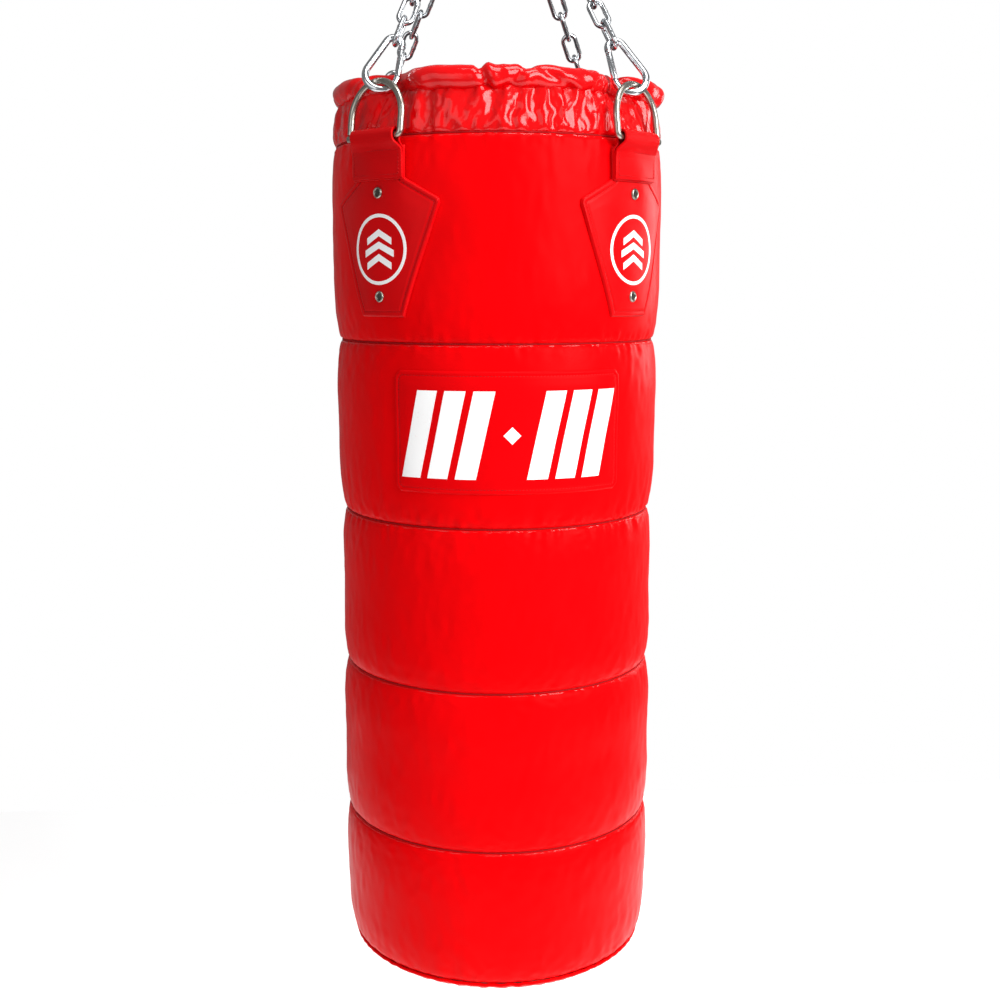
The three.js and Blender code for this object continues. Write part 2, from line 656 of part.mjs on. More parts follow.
function addSuspension() {
  const ring = new THREE.TorusGeometry(CARRIER.radius, CARRIER.wire, 8, 26);
  add("suspension_ring", ring.rotateX(Math.PI / 2).translate(0, 0, CARRIER.z), "steel");

  const eyeZ = CARRIER.z + CARRIER.radius - CARRIER.wire - LOWER_EYE.wire - GAP + LOWER_EYE.radius;
  const eyeTop = eyeZ + LOWER_EYE.radius;
  const neckHigh = HOUSING.low - GAP;
  const lowerEye = join([
    new THREE.TorusGeometry(LOWER_EYE.radius, LOWER_EYE.wire, 8, 20).rotateY(Math.PI / 2).translate(0, 0, eyeZ),
    new THREE.CylinderGeometry(7, 5, neckHigh - eyeTop + 3, 16)
      .rotateX(Math.PI / 2)
      .translate(0, 0, (neckHigh + eyeTop - 3) / 2),
  ]);
  add("swivel_lower_eye", toGeometry(lowerEye), "steel");

  const h = HOUSING;
  const housing = [
    [0, h.low],
    [h.radius - 4, h.low],
    [h.radius, h.low + 6],
    [h.radius, h.high - 4],
    [h.radius - 3, h.high],
    [h.boreR, h.high],
    [h.boreR, h.cavityHigh],
    [h.cavityR, h.cavityHigh],
    [h.cavityR, h.cavityLow],
    [0, h.cavityLow],
  ];
  add("swivel_housing", revolve(housing, 24), "steel");

  const washer = closed([
    [h.boreR, STEM_HEAD.high + GAP],
    [h.cavityR - GAP, STEM_HEAD.high + GAP],
    [h.cavityR - GAP, h.cavityHigh - GAP],
    [h.boreR, h.cavityHigh - GAP],
  ]);
  add("swivel_bearing", revolve(washer, 24), "zipMetal");

  const upperEyeZ = -(UPPER_EYE.radius - UPPER_EYE.wire);
  const stemTop = upperEyeZ - UPPER_EYE.radius;
  const stem = [
    [0, STEM_HEAD.low],
    [STEM_HEAD.radius, STEM_HEAD.low],
    [STEM_HEAD.radius, STEM_HEAD.high],
    [STEM_R, STEM_HEAD.high],
    [STEM_R, stemTop - 2],
    [STEM_R - 1.5, stemTop + 2],
    [0, stemTop + 2],
  ];
  const upperEye = join([
    new THREE.TorusGeometry(UPPER_EYE.radius, UPPER_EYE.wire, 8, 28).rotateX(Math.PI / 2).translate(0, 0, upperEyeZ),
    revolve(stem, 16),
  ]);
  add("swivel_upper_eye", toGeometry(upperEye), "steel");
}

addFilling();
addCoverAndPatches();
addBase();
addTop();
addZip();
addLabel();
for (const hanger of HANGERS) {
  addStrap(hanger);
  addRivets(hanger);
  addDRing(hanger);
  addCarabiner(hanger);
  addChain(hanger);
}
addSuspension();

export default part;
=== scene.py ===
"""Looks of a heavy punching bag that hangs on four chains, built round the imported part.

Everything is in metres in the part's own frame: +Z up, the bag's front towards -Y, and the
origin at the inner top of the upper eye. Heights on the bag are counted in millimetres from its
middle seam, and azimuths run from the front towards +X.
"""

import logging
import math
from collections.abc import Callable, Iterator, Sequence
from contextlib import contextmanager
from dataclasses import dataclass, field
from enum import Enum

import bpy
import numpy as np
from mathutils import Matrix, Vector


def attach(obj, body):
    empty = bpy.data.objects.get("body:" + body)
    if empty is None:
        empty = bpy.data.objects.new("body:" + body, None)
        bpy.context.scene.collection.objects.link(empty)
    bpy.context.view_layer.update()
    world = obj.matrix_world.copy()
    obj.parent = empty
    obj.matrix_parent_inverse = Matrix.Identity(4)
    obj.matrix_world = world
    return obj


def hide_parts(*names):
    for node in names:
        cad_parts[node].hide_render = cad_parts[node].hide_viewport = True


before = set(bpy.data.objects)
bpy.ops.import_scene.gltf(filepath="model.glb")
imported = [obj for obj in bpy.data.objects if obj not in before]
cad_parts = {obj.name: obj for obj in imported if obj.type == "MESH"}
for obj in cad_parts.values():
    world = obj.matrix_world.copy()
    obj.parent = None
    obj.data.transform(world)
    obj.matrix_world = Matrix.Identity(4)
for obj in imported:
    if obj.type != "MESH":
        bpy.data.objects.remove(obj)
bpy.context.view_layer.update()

log = logging.getLogger("punching_bag")

MM = 0.001
SEAM_C_Z = -0.9
DEG = math.pi / 180
QUARTER = math.pi / 2

Shape = Callable[[np.ndarray, np.ndarray], np.ndarray]
Stations = tuple[tuple[float, float], ...]
Socket = bpy.types.NodeSocket
Object = bpy.types.Object
Material = bpy.types.Material


class Body(Enum):
    """Moving bodies of the part that pieces ride on."""

    SWIVEL_UPPER = "swivel_upper"
    SWIVEL_LOWER = "swivel_lower"
    RING = "ring"
    BAG = "bag"


class Slot(Enum):
    """Material slots of the record."""

    LEATHER = "red_leather"
    LABEL = "red_label"
    PATCH = "red_patch"
    STRAP = "red_strap"
    LINING = "lining"
    ZINC = "zinc"
    NICKEL = "nickel"
    STEEL = "steel"
    ZIP_METAL = "zip_metal"


# ---------- handling meshes ----------


def hold(obj: Object) -> None:
    """Makes obj the only selected and active object."""
    let_go()
    obj.select_set(True)
    bpy.context.view_layer.objects.active = obj


def let_go() -> None:
    """Leaves nothing selected."""
    for other in bpy.context.selected_objects:
        other.select_set(False)


@contextmanager
def editing(obj: Object, mode: str = "VERT") -> Iterator[None]:
    """Opens obj in edit mode with everything selected, and closes it again.

    Args:
        obj: the mesh object to edit.
        mode: VERT, EDGE or FACE, what is selected.
    """
    hold(obj)
    bpy.ops.object.mode_set(mode="EDIT")
    bpy.ops.mesh.select_mode(type=mode)
    bpy.ops.mesh.select_all(action="SELECT")
    yield
    bpy.ops.object.mode_set(mode="OBJECT")


def select_points(obj: Object, chosen: np.ndarray) -> None:
    """Selects exactly the chosen vertices of the mesh that is open in edit mode.

    Args:
        obj: the mesh object in edit mode.
        chosen: one truth value per vertex.
    """
    bpy.ops.mesh.select_all(action="DESELECT")
    bpy.ops.object.mode_set(mode="OBJECT")
    obj.data.vertices.foreach_set("select", chosen)
    bpy.ops.object.mode_set(mode="EDIT")
    bpy.ops.mesh.select_mode(type="VERT")


def points_of(obj: Object) -> np.ndarray:
    """Returns the mesh's vertices as rows of x, y, z."""
    flat = np.zeros(len(obj.data.vertices) * 3)
    obj.data.vertices.foreach_get("co", flat)
    return flat.reshape(-1, 3)


def set_points(obj: Object, points: np.ndarray) -> None:
    """Moves the mesh's vertices to the given rows of x, y, z."""
    obj.data.vertices.foreach_set("co", points.ravel())
    obj.data.update()


def finish_mesh(obj: Object, merge: float = 1e-6, smooth: float = 50) -> None:
    """Merges doubles, turns every face outwards and shades the mesh smooth.

    Args:
        obj: a closed mesh object.
        merge: points closer than this become one.
        smooth: edges sharper than this many degrees stay sharp.
    """
    with editing(obj):
        bpy.ops.mesh.remove_doubles(threshold=merge)
        bpy.ops.mesh.normals_make_consistent(inside=False)
    hold(obj)
    bpy.ops.object.shade_smooth_by_angle(angle=smooth * DEG)


def modify(obj: Object, kind: str, **settings: object) -> None:
    """Puts one modifier on obj and applies it.

    Args:
        obj: the mesh object.
        kind: the modifier's type.
        settings: the modifier's properties.
    """
    hold(obj)
    modifier = obj.modifiers.new(kind.lower(), kind)
    for name, value in settings.items():
        setattr(modifier, name, value)
    bpy.ops.object.modifier_apply(modifier=modifier.name)


def combine(obj: Object, other: Object, operation: str) -> None:
    """Joins other to obj, or cuts it away, and removes other.

    Args:
        obj: the mesh object that is kept.
        other: the tool.
        operation: UNION or DIFFERENCE.
    """
    modify(obj, "BOOLEAN", operation=operation, object=other, solver="EXACT")
    drop(other)


def drop(obj: Object) -> None:
    """Removes an object and its mesh."""
    mesh = obj.data
    bpy.data.objects.remove(obj)
    bpy.data.meshes.remove(mesh)


def copy_of(obj: Object, name: str, place: Matrix) -> Object:
    """Makes a copy with its own mesh, already moved to its place.

    Args:
        obj: the modelled original.
        name: the copy's name.
        place: the move, applied to the mesh.

    Returns:
        The new object, which sits at the origin.
    """
    copy = obj.copy()
    copy.data = obj.data.copy()
    copy.name = name
    copy.data.transform(place)
    bpy.context.scene.collection.objects.link(copy)
    return copy


def settle(name: str) -> Object:
    """Names the primitive just added, applies its place to its mesh and returns it."""
    obj = bpy.context.object
    obj.name = name
    bpy.ops.object.transform_apply(location=True, rotation=True, scale=True)
    return obj


def round_cord(name: str, radius: float, thick: float, height: float) -> Object:
    """Adds a level ring of round cord about the bag's axis.

    Args:
        name: the new object's name.
        radius: to the cord's centre, in millimetres.
        thick: the cord's own radius, in millimetres.
        height: above the middle seam, in millimetres.

    Returns:
        The new mesh object.
    """
    let_go()
    bpy.ops.mesh.primitive_torus_add(
        location=(0, 0, row_z(height)), major_radius=radius * MM, minor_radius=thick * MM,
        major_segments=180, minor_segments=8,
    )
    return settle(name)


def add_inner_wall(tube: Object, share: float, middle: float) -> None:
    """Gives an open tube an inner wall, so that it is one closed skin.

    Args:
        tube: the open tube.
        share: radius of the inner wall against the outer one.
        middle: height that stays where it is, in metres.
    """
    with editing(tube, "EDGE"):
        bpy.ops.mesh.select_all(action="DESELECT")
        bpy.ops.mesh.select_non_manifold()
        bpy.ops.mesh.extrude_region_move(TRANSFORM_OT_translate={"value": (0, 0, 0)})
        bpy.ops.transform.resize(value=(share, share, 1), center_override=(0, 0, middle))
        bpy.ops.mesh.bridge_edge_loops()


def thicken(obj: Object, thickness: float, finish: Material, offset: float = -1) -> None:
    """Gives a sheet its thickness and its finish.

    Args:
        obj: the open sheet.
        thickness: in metres.
        finish: its material.
        offset: -1 grows it inwards, 0 both ways.
    """
    modify(obj, "SOLIDIFY", thickness=thickness, offset=offset)
    finish_mesh(obj, smooth=60)
    dress(obj, finish)


def stamped(template: Object, places: Sequence[Matrix], name: str) -> Object:
    """Joins one copy of a small model per place into a single object, and removes the model.

    Args:
        template: the small model.
        places: where each copy goes.
        name: the new object's name.

    Returns:
        The new object.
    """
    points = np.c_[points_of(template), np.ones(len(template.data.vertices))]
    faces = [list(face.vertices) for face in template.data.polygons]
    all_points = np.concatenate([(points @ np.array(place).T)[:, :3] for place in places])
    all_faces = [
        [index + len(points) * number for index in face]
        for number in range(len(places))
        for face in faces
    ]
    mesh = bpy.data.meshes.new(name)
    mesh.from_pydata(all_points.tolist(), [], all_faces)
    obj = bpy.data.objects.new(name, mesh)
    bpy.context.scene.collection.objects.link(obj)
    drop(template)
    finish_mesh(obj, merge=1e-7)
    return obj


def basis(x: Vector, y: Vector, z: Vector, place: Vector) -> Matrix:
    """Returns the matrix that carries the local axes onto three directions at a place."""
    turn = Matrix((x, y, z)).transposed().to_4x4()
    return Matrix.Translation(place) @ turn


def mapped_grid(name: str, columns: int, rows: int, shape: Shape) -> Object:
    """Adds a grid and lays it over a surface.

    Args:
        name: the new object's name.
        columns: faces along u.
        rows: faces along v.
        shape: turns u and v, each 0 to 1, into rows of x, y, z.

    Returns:
        The new mesh object.
    """
    let_go()
    bpy.ops.mesh.primitive_grid_add(x_subdivisions=columns, y_subdivisions=rows, size=1)
    obj = bpy.context.object
    obj.name = name
    flat = points_of(obj)
    set_points(obj, shape(flat[:, 0] + 0.5, flat[:, 1] + 0.5))
    return obj


def turned(name: str, profile: Sequence[tuple[float, float]], sides: int = 32) -> Object:
    """Turns a solid round the Z axis by pushing a disc along a profile.

    Args:
        name: the new object's name.
        profile: radius and height of each station, in millimetres; both ends are capped.
        sides: facets round the axis.

    Returns:
        The new closed mesh object.
    """
    let_go()
    first_radius, first_height = profile[0]
    bpy.ops.mesh.primitive_circle_add(
        vertices=sides, radius=first_radius * MM, fill_type="NGON",
        location=(0, 0, first_height * MM),
    )
    obj = settle(name)
    with editing(obj, "FACE"):
        for (radius, height), (next_radius, next_height) in zip(profile, profile[1:]):
            rise = (0, 0, (next_height - height) * MM)
            bpy.ops.mesh.extrude_region_move(TRANSFORM_OT_translate={"value": rise})
            share = next_radius / radius
            bpy.ops.transform.resize(value=(share, share, 1), center_override=(0, 0, 0))
    finish_mesh(obj, smooth=35)
    return obj


@dataclass
class WireBender:
    """Bends one round wire in the XY plane, the way a wire former does.

    Attributes:
        name: the new object's name.
        radius: wire radius in millimetres.
        sides: facets round the wire.
        end_share: radius of a rounded end against the wire's.
        spot: where the working end is, in metres.
        heading: the direction in which it points.
    """

    name: str
    radius: float
    sides: int = 14
    end_share: float = 0.84
    spot: Vector = field(default_factory=lambda: Vector((0, 0, 0)))
    heading: Vector = field(default_factory=lambda: Vector((1, 0, 0)))

    def begin(self, spot: tuple[float, float], heading: Vector) -> None:
        """Sets the wire's first, slightly rounded end.

        Args:
            spot: x and y of the end in millimetres.
            heading: the direction in which the wire leaves.
        """
        let_go()
        self.spot = Vector((spot[0], spot[1], 0)) * MM
        self.heading = heading.normalized()
        bpy.ops.mesh.primitive_circle_add(
            vertices=self.sides,
            radius=self.radius * self.end_share * MM,
            fill_type="NGON",
            location=self.spot,
            rotation=self.heading.to_track_quat("Z", "Y").to_euler(),
        )
        settle(self.name)
        bpy.ops.object.mode_set(mode="EDIT")
        bpy.ops.mesh.select_mode(type="FACE")
        bpy.ops.mesh.select_all(action="SELECT")
        self.straight(self.radius * (1 - self.end_share))
        self.swell(1 / self.end_share)

    def swell(self, share: float) -> None:
        """Scales the wire's working end about its own centre."""
        bpy.ops.transform.resize(value=(share, share, share), center_override=self.spot)

    def straight(self, length: float) -> None:
        """Runs the wire straight on by a length in millimetres."""
        step = self.heading * length * MM
        bpy.ops.mesh.extrude_region_move(TRANSFORM_OT_translate={"value": step})
        self.spot = self.spot + step

    def bend(self, centre: tuple[float, float], degrees: float, steps: int) -> None:
        """Bends the wire round a centre.

        Args:
            centre: x and y of the bend's centre in millimetres.
            degrees: the angle, counter-clockwise seen from +Z.
            steps: facets along the bend.
        """
        middle = Vector((centre[0], centre[1], 0)) * MM
        # the spin operator turns clockwise for a positive angle
        bpy.ops.mesh.spin(steps=steps, angle=-degrees * DEG, center=middle, axis=(0, 0, 1))
        turn = Matrix.Rotation(degrees * DEG, 3, "Z")
        self.spot = middle + turn @ (self.spot - middle)
        self.heading = turn @ self.heading

    def end(self) -> Object:
        """Rounds the last end off and returns the finished wire."""
        self.straight(self.radius * (1 - self.end_share))
        self.swell(self.end_share)
        bpy.ops.object.mode_set(mode="OBJECT")
        obj = bpy.context.object
        finish_mesh(obj, smooth=40)
        return obj


def wire_ring(name: str, radius: float, wire: float, place: Matrix, bead: bool = True) -> Object:
    """Makes a closed ring of round wire, with the raised bead of its weld.

    Args:
        name: the new object's name.
        radius: from the ring's centre to the wire's centre, in millimetres.
        wire: wire radius in millimetres.
        place: carries the ring, which lies in the XY plane with its bead at -X, to its place.
        bead: whether the weld shows.

    Returns:
        The new object.
    """
    let_go()
    bpy.ops.mesh.primitive_torus_add(
        major_radius=radius * MM, minor_radius=wire * MM, major_segments=72, minor_segments=18
    )
    obj = bpy.context.object
    obj.name = name
    if bead:
        points = points_of(obj)
        angle = np.arctan2(points[:, 1], -points[:, 0])
        centre = np.stack([-np.cos(angle), np.sin(angle), 0 * angle], 1) * radius * MM
        swell = 1 + 0.12 * np.exp(-((angle / 0.07) ** 2))
        set_points(obj, centre + (points - centre) * swell[:, None])
    obj.data.transform(place)
    finish_mesh(obj)
    return obj


# ---------- surfaces of the bag ----------


def row_z(height: float | np.ndarray) -> float | np.ndarray:
    """Returns z in metres at heights in millimetres above the middle seam."""
    return height * MM + SEAM_C_Z


def wrapped(azimuth: np.ndarray, radius: np.ndarray, z: np.ndarray) -> np.ndarray:
    """Returns rows of x, y, z for places round the bag.

    Args:
        azimuth: from the front towards +X, in radians.
        radius: from the bag's axis, in metres.
        z: height in metres.
    """
    return np.stack([radius * np.sin(azimuth), -radius * np.cos(azimuth), z + 0 * azimuth], 1)


def azimuth_of(points: np.ndarray) -> np.ndarray:
    """Returns the azimuth of each row of x, y, z, in radians."""
    return np.arctan2(points[:, 0], -points[:, 1])


@dataclass(frozen=True)
class SkinLine:
    """Outline of a cover band, smoothed through its stations.

    Attributes:
        stations: height from the middle seam and radius, in millimetres, top first.
    """

    stations: Stations

    @property
    def top(self) -> float:
        """Height of the upper edge in metres."""
        return row_z(self.stations[0][0])

    @property
    def foot(self) -> float:
        """Height of the lower edge in metres."""
        return row_z(self.stations[-1][0])

    def radius(self, z: np.ndarray) -> np.ndarray:
        """Returns the radius in metres at heights in metres."""
        heights = row_z(np.array([height for height, _ in self.stations][::-1]))
        radii = np.array([radius for _, radius in self.stations][::-1]) * MM
        slopes = np.gradient(radii, heights)
        z = np.clip(z, heights[0], heights[-1])
        i = np.clip(np.searchsorted(heights, z) - 1, 0, len(heights) - 2)
        span = heights[i + 1] - heights[i]
        t = (z - heights[i]) / span
        return (
            (2 * t**3 - 3 * t**2 + 1) * radii[i]
            + (t**3 - 2 * t**2 + t) * span * slopes[i]
            + (3 * t**2 - 2 * t**3) * radii[i + 1]
            + (t**3 - t**2) * span * slopes[i + 1]
        )


@dataclass(frozen=True)
class Ripples:
    """Uneven waves round the bag, the same on each run.

    Attributes:
        seed: start of the random draws.
        lobes: fewest and most waves round the bag.
        climb: how far a wave leans, in radians per metre of height.
        count: how many waves are added up.
    """

    seed: int
    lobes: tuple[int, int]
    climb: float = 20.0
    count: int = 14

    def at(self, azimuth: np.ndarray, z: np.ndarray) -> np.ndarray:
        """Returns the waves' height, about -1 to 1, at places round the bag."""
        draws = np.random.default_rng(self.seed)
        total = np.zeros(np.shape(azimuth))
        for _ in range(self.count):
            lobe = int(draws.integers(self.lobes[0], self.lobes[1] + 1))
            lean = draws.normal(0, self.climb)
            height = draws.uniform(0.5, 1)
            total += height * np.cos(lobe * azimuth + lean * z + draws.uniform(0, 2 * np.pi))
        return total / math.sqrt(self.count) * 1.2


def smooth_step(x: np.ndarray, low: float, high: float) -> np.ndarray:
    """Returns 0 below low, 1 above high and an even S between them."""
    t = np.clip((x - low) / (high - low), 0, 1)
    return t * t * (3 - 2 * t)


DENT_HALF_WIDTH = 17
DENT_DEPTH = 21 / 180.4
DENT_HEIGHTS = (404, 446)


def hanger_dent(azimuth: np.ndarray, z: np.ndarray) -> np.ndarray:
    """Returns the share of the radius that is left where the rim is pushed in behind a hanger."""
    from_hanger = np.abs(np.mod(azimuth / DEG, 90) - 45)
    bowl = 0.5 + 0.5 * np.cos(np.pi * from_hanger / DENT_HALF_WIDTH)
    share = np.where(from_hanger < DENT_HALF_WIDTH, bowl, 0)
    return 1 - DENT_DEPTH * share * smooth_step((z - SEAM_C_Z) / MM, *DENT_HEIGHTS)


def gathered(azimuth: np.ndarray) -> np.ndarray:
    """Returns how strongly the rim is gathered, 0 to 1: most at the front right."""
    turn = azimuth / DEG
    right = np.exp(-(((turn - 28) / 34) ** 2))
    back = 0.55 * smooth_step(np.abs(turn), 95, 130)
    return np.clip(0.22 + right + back, 0, 1)


@dataclass(frozen=True)
class Outline:
    """Closed outline on the unrolled cover.

    Attributes:
        corners: arc length and height of each corner, in millimetres.
    """

    corners: Stations

    def depth(self, arc: np.ndarray, height: np.ndarray) -> np.ndarray:
        """Returns how far inside the outline each place is, in millimetres, negative outside."""
        corners = np.array(self.corners)
        nearest = np.full(np.shape(arc), 1e9)
        inside = np.zeros(np.shape(arc), bool)
        for (x0, y0), (x1, y1) in zip(corners, np.roll(corners, -1, axis=0)):
            dx, dy = x1 - x0, y1 - y0
            t = np.clip(((arc - x0) * dx + (height - y0) * dy) / (dx * dx + dy * dy), 0, 1)
            nearest = np.minimum(nearest, np.hypot(arc - x0 - t * dx, height - y0 - t * dy))
            crosses = (y0 > height) != (y1 > height)
            slope = dx / dy if dy else 0.0
            inside ^= crosses & (arc < x0 + slope * (height - y0))
        return np.where(inside, nearest, -nearest)

    def half_width(self, height: np.ndarray) -> np.ndarray:
        """Returns the outline's reach towards +arc at each height, in millimetres."""
        right = sorted((y, x) for x, y in self.corners if x > 0)
        return np.interp(height, [y for y, _ in right], [x for _, x in right])

    def inset(self, distance: float) -> list[tuple[float, float]]:
        """Returns the corners moved inwards by a distance in millimetres."""
        corners = np.array(self.corners)
        before_all, after_all = np.roll(corners, 1, axis=0), np.roll(corners, -1, axis=0)
        area = np.sum(corners[:, 0] * after_all[:, 1] - corners[:, 1] * after_all[:, 0])
        moved = []
        for before, here, after in zip(before_all, corners, after_all):
            a, b = here - before, after - here
            a, b = a / np.hypot(*a), b / np.hypot(*b)
            inward = np.sign(area)
            na, nb = np.array([-a[1], a[0]]) * inward, np.array([-b[1], b[0]]) * inward
            mitre = (na + nb) / (1 + na @ nb)
            moved.append(tuple(here + mitre * distance))
        return moved


# ---------- cloth ----------


@dataclass(frozen=True)
class ClothRun:
    """Blows up a tube of leather whose girth is a little too long for its place.

    Attributes:
        pressure: push from inside.
        bending: stiffness against bending.
        cap: furthest that a point may end from the unwrinkled shape, in millimetres.
        frames: steps of the run.
        squeeze_frames: steps over which the tube shrinks to its place.
    """

    pressure: float = 3.0
    bending: float = 0.3
    cap: float = 5.0
    frames: int = 20
    squeeze_frames: int = 10

    def blow(self, obj: Object, start: np.ndarray, rest: np.ndarray, pinned: np.ndarray) -> None:
        """Runs the cloth and leaves its result in the mesh.

        Args:
            obj: the tube.
            start: points of the slack, too long tube.
            rest: points of the unwrinkled shape.
            pinned: truth value per point, held where the seams are.
        """
        set_points(obj, start)
        obj.shape_key_add(name="Basis")
        key = obj.shape_key_add(name="in_place")
        key.data.foreach_set("co", rest.ravel())
        for value, frame_number in ((0, 1), (1, self.squeeze_frames)):
            key.value = value
            key.keyframe_insert("value", frame=frame_number)
        group = obj.vertex_groups.new(name="seams")
        group.add([int(i) for i in np.nonzero(pinned)[0]], 1.0, "REPLACE")
        modifier = obj.modifiers.new("cloth", "CLOTH")
        cloth = modifier.settings
        cloth.quality = 4
        cloth.mass = 0.15
        cloth.tension_stiffness = 15
        cloth.compression_stiffness = 15
        cloth.shear_stiffness = 5
        cloth.bending_stiffness = self.bending
        cloth.air_damping = 1
        cloth.vertex_group_mass = group.name
        cloth.pin_stiffness = 1
        cloth.use_pressure = True
        cloth.uniform_pressure_force = self.pressure
        cloth.effector_weights.gravity = 0
        modifier.point_cache.frame_start = 1
        modifier.point_cache.frame_end = self.frames + 5
        for frame_number in range(1, self.frames + 1):
            bpy.context.scene.frame_set(frame_number)
        blown = obj.evaluated_get(bpy.context.evaluated_depsgraph_get())
        result = np.zeros(len(start) * 3)
        blown.data.vertices.foreach_get("co", result)
        moved = result.reshape(-1, 3) - rest
        far = np.linalg.norm(moved, axis=1)
        limit = self.cap * MM
        share = np.where(far > limit, limit / np.maximum(far, 1e-9), 1)
        obj.modifiers.clear()
        obj.shape_key_clear()
        obj.vertex_groups.clear()
        bpy.context.scene.frame_set(1)
        set_points(obj, rest + moved * share[:, None])


# ---------- finishes ----------


def srgb(code: int) -> tuple[float, float, float, float]:
    """Turns a hexadecimal colour into linear red, green, blue and alpha."""
    shares = [((code >> shift) & 255) / 255 for shift in (16, 8, 0)]
    linear = [s / 12.92 if s <= 0.04045 else ((s + 0.055) / 1.055) ** 2.4 for s in shares]
    return linear[0], linear[1], linear[2], 1.0


class Recipe:
    """A material being wired up from nodes that read Object coordinates."""

    def __init__(self, name: str) -> None:
        """Starts a material with one shader.

        Args:
            name: the material's name.
        """
        self.material = bpy.data.materials.new(name)
        self.material.use_nodes = True
        self.tree = self.material.node_tree
        self.tree.nodes.clear()
        output = self.tree.nodes.new("ShaderNodeOutputMaterial")
        self.shader = self.tree.nodes.new("ShaderNodeBsdfPrincipled")
        self.tree.links.new(self.shader.outputs["BSDF"], output.inputs["Surface"])
        coordinates = self.tree.nodes.new("ShaderNodeTexCoord")
        self.place = coordinates.outputs["Object"]

    def set(self, **values: object) -> None:
        """Sets sockets of the shader; an underscore in a name stands for a blank."""
        for name, value in values.items():
            self.shader.inputs[name.replace("_", " ")].default_value = value

    def node(self, kind: str, **values: object) -> bpy.types.Node:
        """Adds a node, sets its sockets, and links those whose value is another node's output.

        Args:
            kind: the node's type.
            values: values or outputs for its inputs, an underscore standing for a blank.

        Returns:
            The new node.
        """
        node = self.tree.nodes.new(kind)
        for name, value in values.items():
            socket = node.inputs[name.replace("_", " ")]
            if isinstance(value, Socket):
                self.tree.links.new(value, socket)
            else:
                socket.default_value = value
        return node

    def noise(self, size: float, detail: float = 3, distortion: float = 0) -> Socket:
        """Adds noise whose features are about size metres across, and returns its height."""
        scale = 1 / size
        return self.node(
            "ShaderNodeTexNoise", Vector=self.place, Scale=scale, Detail=detail,
            Distortion=distortion,
        ).outputs["Fac"]

    def cells(self, size: float) -> Socket:
        """Adds a pattern of cells about size metres across, and returns the distance in each."""
        cells = self.node("ShaderNodeTexVoronoi", Vector=self.place, Scale=1 / size)
        return cells.outputs["Distance"]

    def ranged(
        self, value: Socket, low: float, high: float, to: tuple[float, float] = (0, 1)
    ) -> Socket:
        """Maps the range low to high of a value onto the two numbers of to."""
        node = self.node("ShaderNodeMapRange", Value=value)
        for name, number in zip(("From Min", "From Max", "To Min", "To Max"), (low, high, *to)):
            node.inputs[name].default_value = number
        return node.outputs["Result"]

    def sum(self, first: Socket, second: Socket, share: float) -> Socket:
        """Returns first plus share times second."""
        node = self.tree.nodes.new("ShaderNodeMath")
        node.operation = "MULTIPLY_ADD"
        self.tree.links.new(second, node.inputs[0])
        node.inputs[1].default_value = share
        self.tree.links.new(first, node.inputs[2])
        return node.outputs["Value"]

    def blend(self, share: Socket, low: Sequence[float], high: Sequence[float]) -> Socket:
        """Returns a colour between low and high."""
        node = self.tree.nodes.new("ShaderNodeMix")
        node.data_type = "RGBA"
        self.tree.links.new(share, node.inputs["Factor"])
        colours = [socket for socket in node.inputs if socket.type == "RGBA"]
        colours[0].default_value, colours[1].default_value = low, high
        return next(socket for socket in node.outputs if socket.type == "RGBA")

    def bump(
        self, height: Socket, lift: float, strength: float, under: Socket | None = None
    ) -> Socket:
        """Returns the normal of a relief of the given lift in metres, on top of another."""
        node = self.node("ShaderNodeBump", Height=height, Distance=lift, Strength=strength)
        if under is not None:
            self.tree.links.new(under, node.inputs["Normal"])
        return node.outputs["Normal"]

    def feed(self, **sockets: Socket) -> Material:
        """Links outputs to the shader's inputs and returns the material."""
        for name, socket in sockets.items():
            self.tree.links.new(socket, self.shader.inputs[name.replace("_", " ")])
        return self.material


@dataclass(frozen=True)
class LeatherFinish:
    """Glossy coated leather with a fine pressed grain.

    Attributes:
        name: the material's name.
        colour: the coating's colour.
        deep: the darker tone of handled and shaded patches.
        roughness: its middle roughness.
        spread: how far the roughness wanders.
        grain: size of a grain cell in metres.
        lift: depth of the grain in metres.
        gloss: specular level of the coating.
        tint: how white its highlights are, from 0, red, to 1, white.
    """

    name: str
    colour: int
    deep: int
    roughness: float = 0.34
    spread: float = 0.05
    grain: float = 0.0011
    lift: float = 0.00005
    gloss: float = 0.09
    tint: float = 0.12

    def make(self) -> Material:
        """Returns the finished material."""
        recipe = Recipe(self.name)
        recipe.set(Specular_IOR_Level=self.gloss, Specular_Tint=(1.0, self.tint, self.tint, 1.0))
        grain = recipe.sum(recipe.cells(self.grain), recipe.noise(self.grain * 2.4, 4), 0.7)
        creases = recipe.noise(0.028, 6, 0.8)
        normal = recipe.bump(creases, 0.0009, 0.35, recipe.bump(grain, self.lift, 0.7))
        tone = recipe.sum(recipe.noise(0.16, 3), recipe.noise(0.012, 4), 0.25)
        colour = recipe.blend(recipe.ranged(tone, 0.42, 0.68), srgb(self.deep), srgb(self.colour))
        rough = (self.roughness - self.spread, self.roughness + self.spread)
        roughness = recipe.ranged(recipe.noise(0.035, 5), 0.3, 0.7, rough)
        return recipe.feed(Base_Color=colour, Roughness=roughness, Normal=normal)


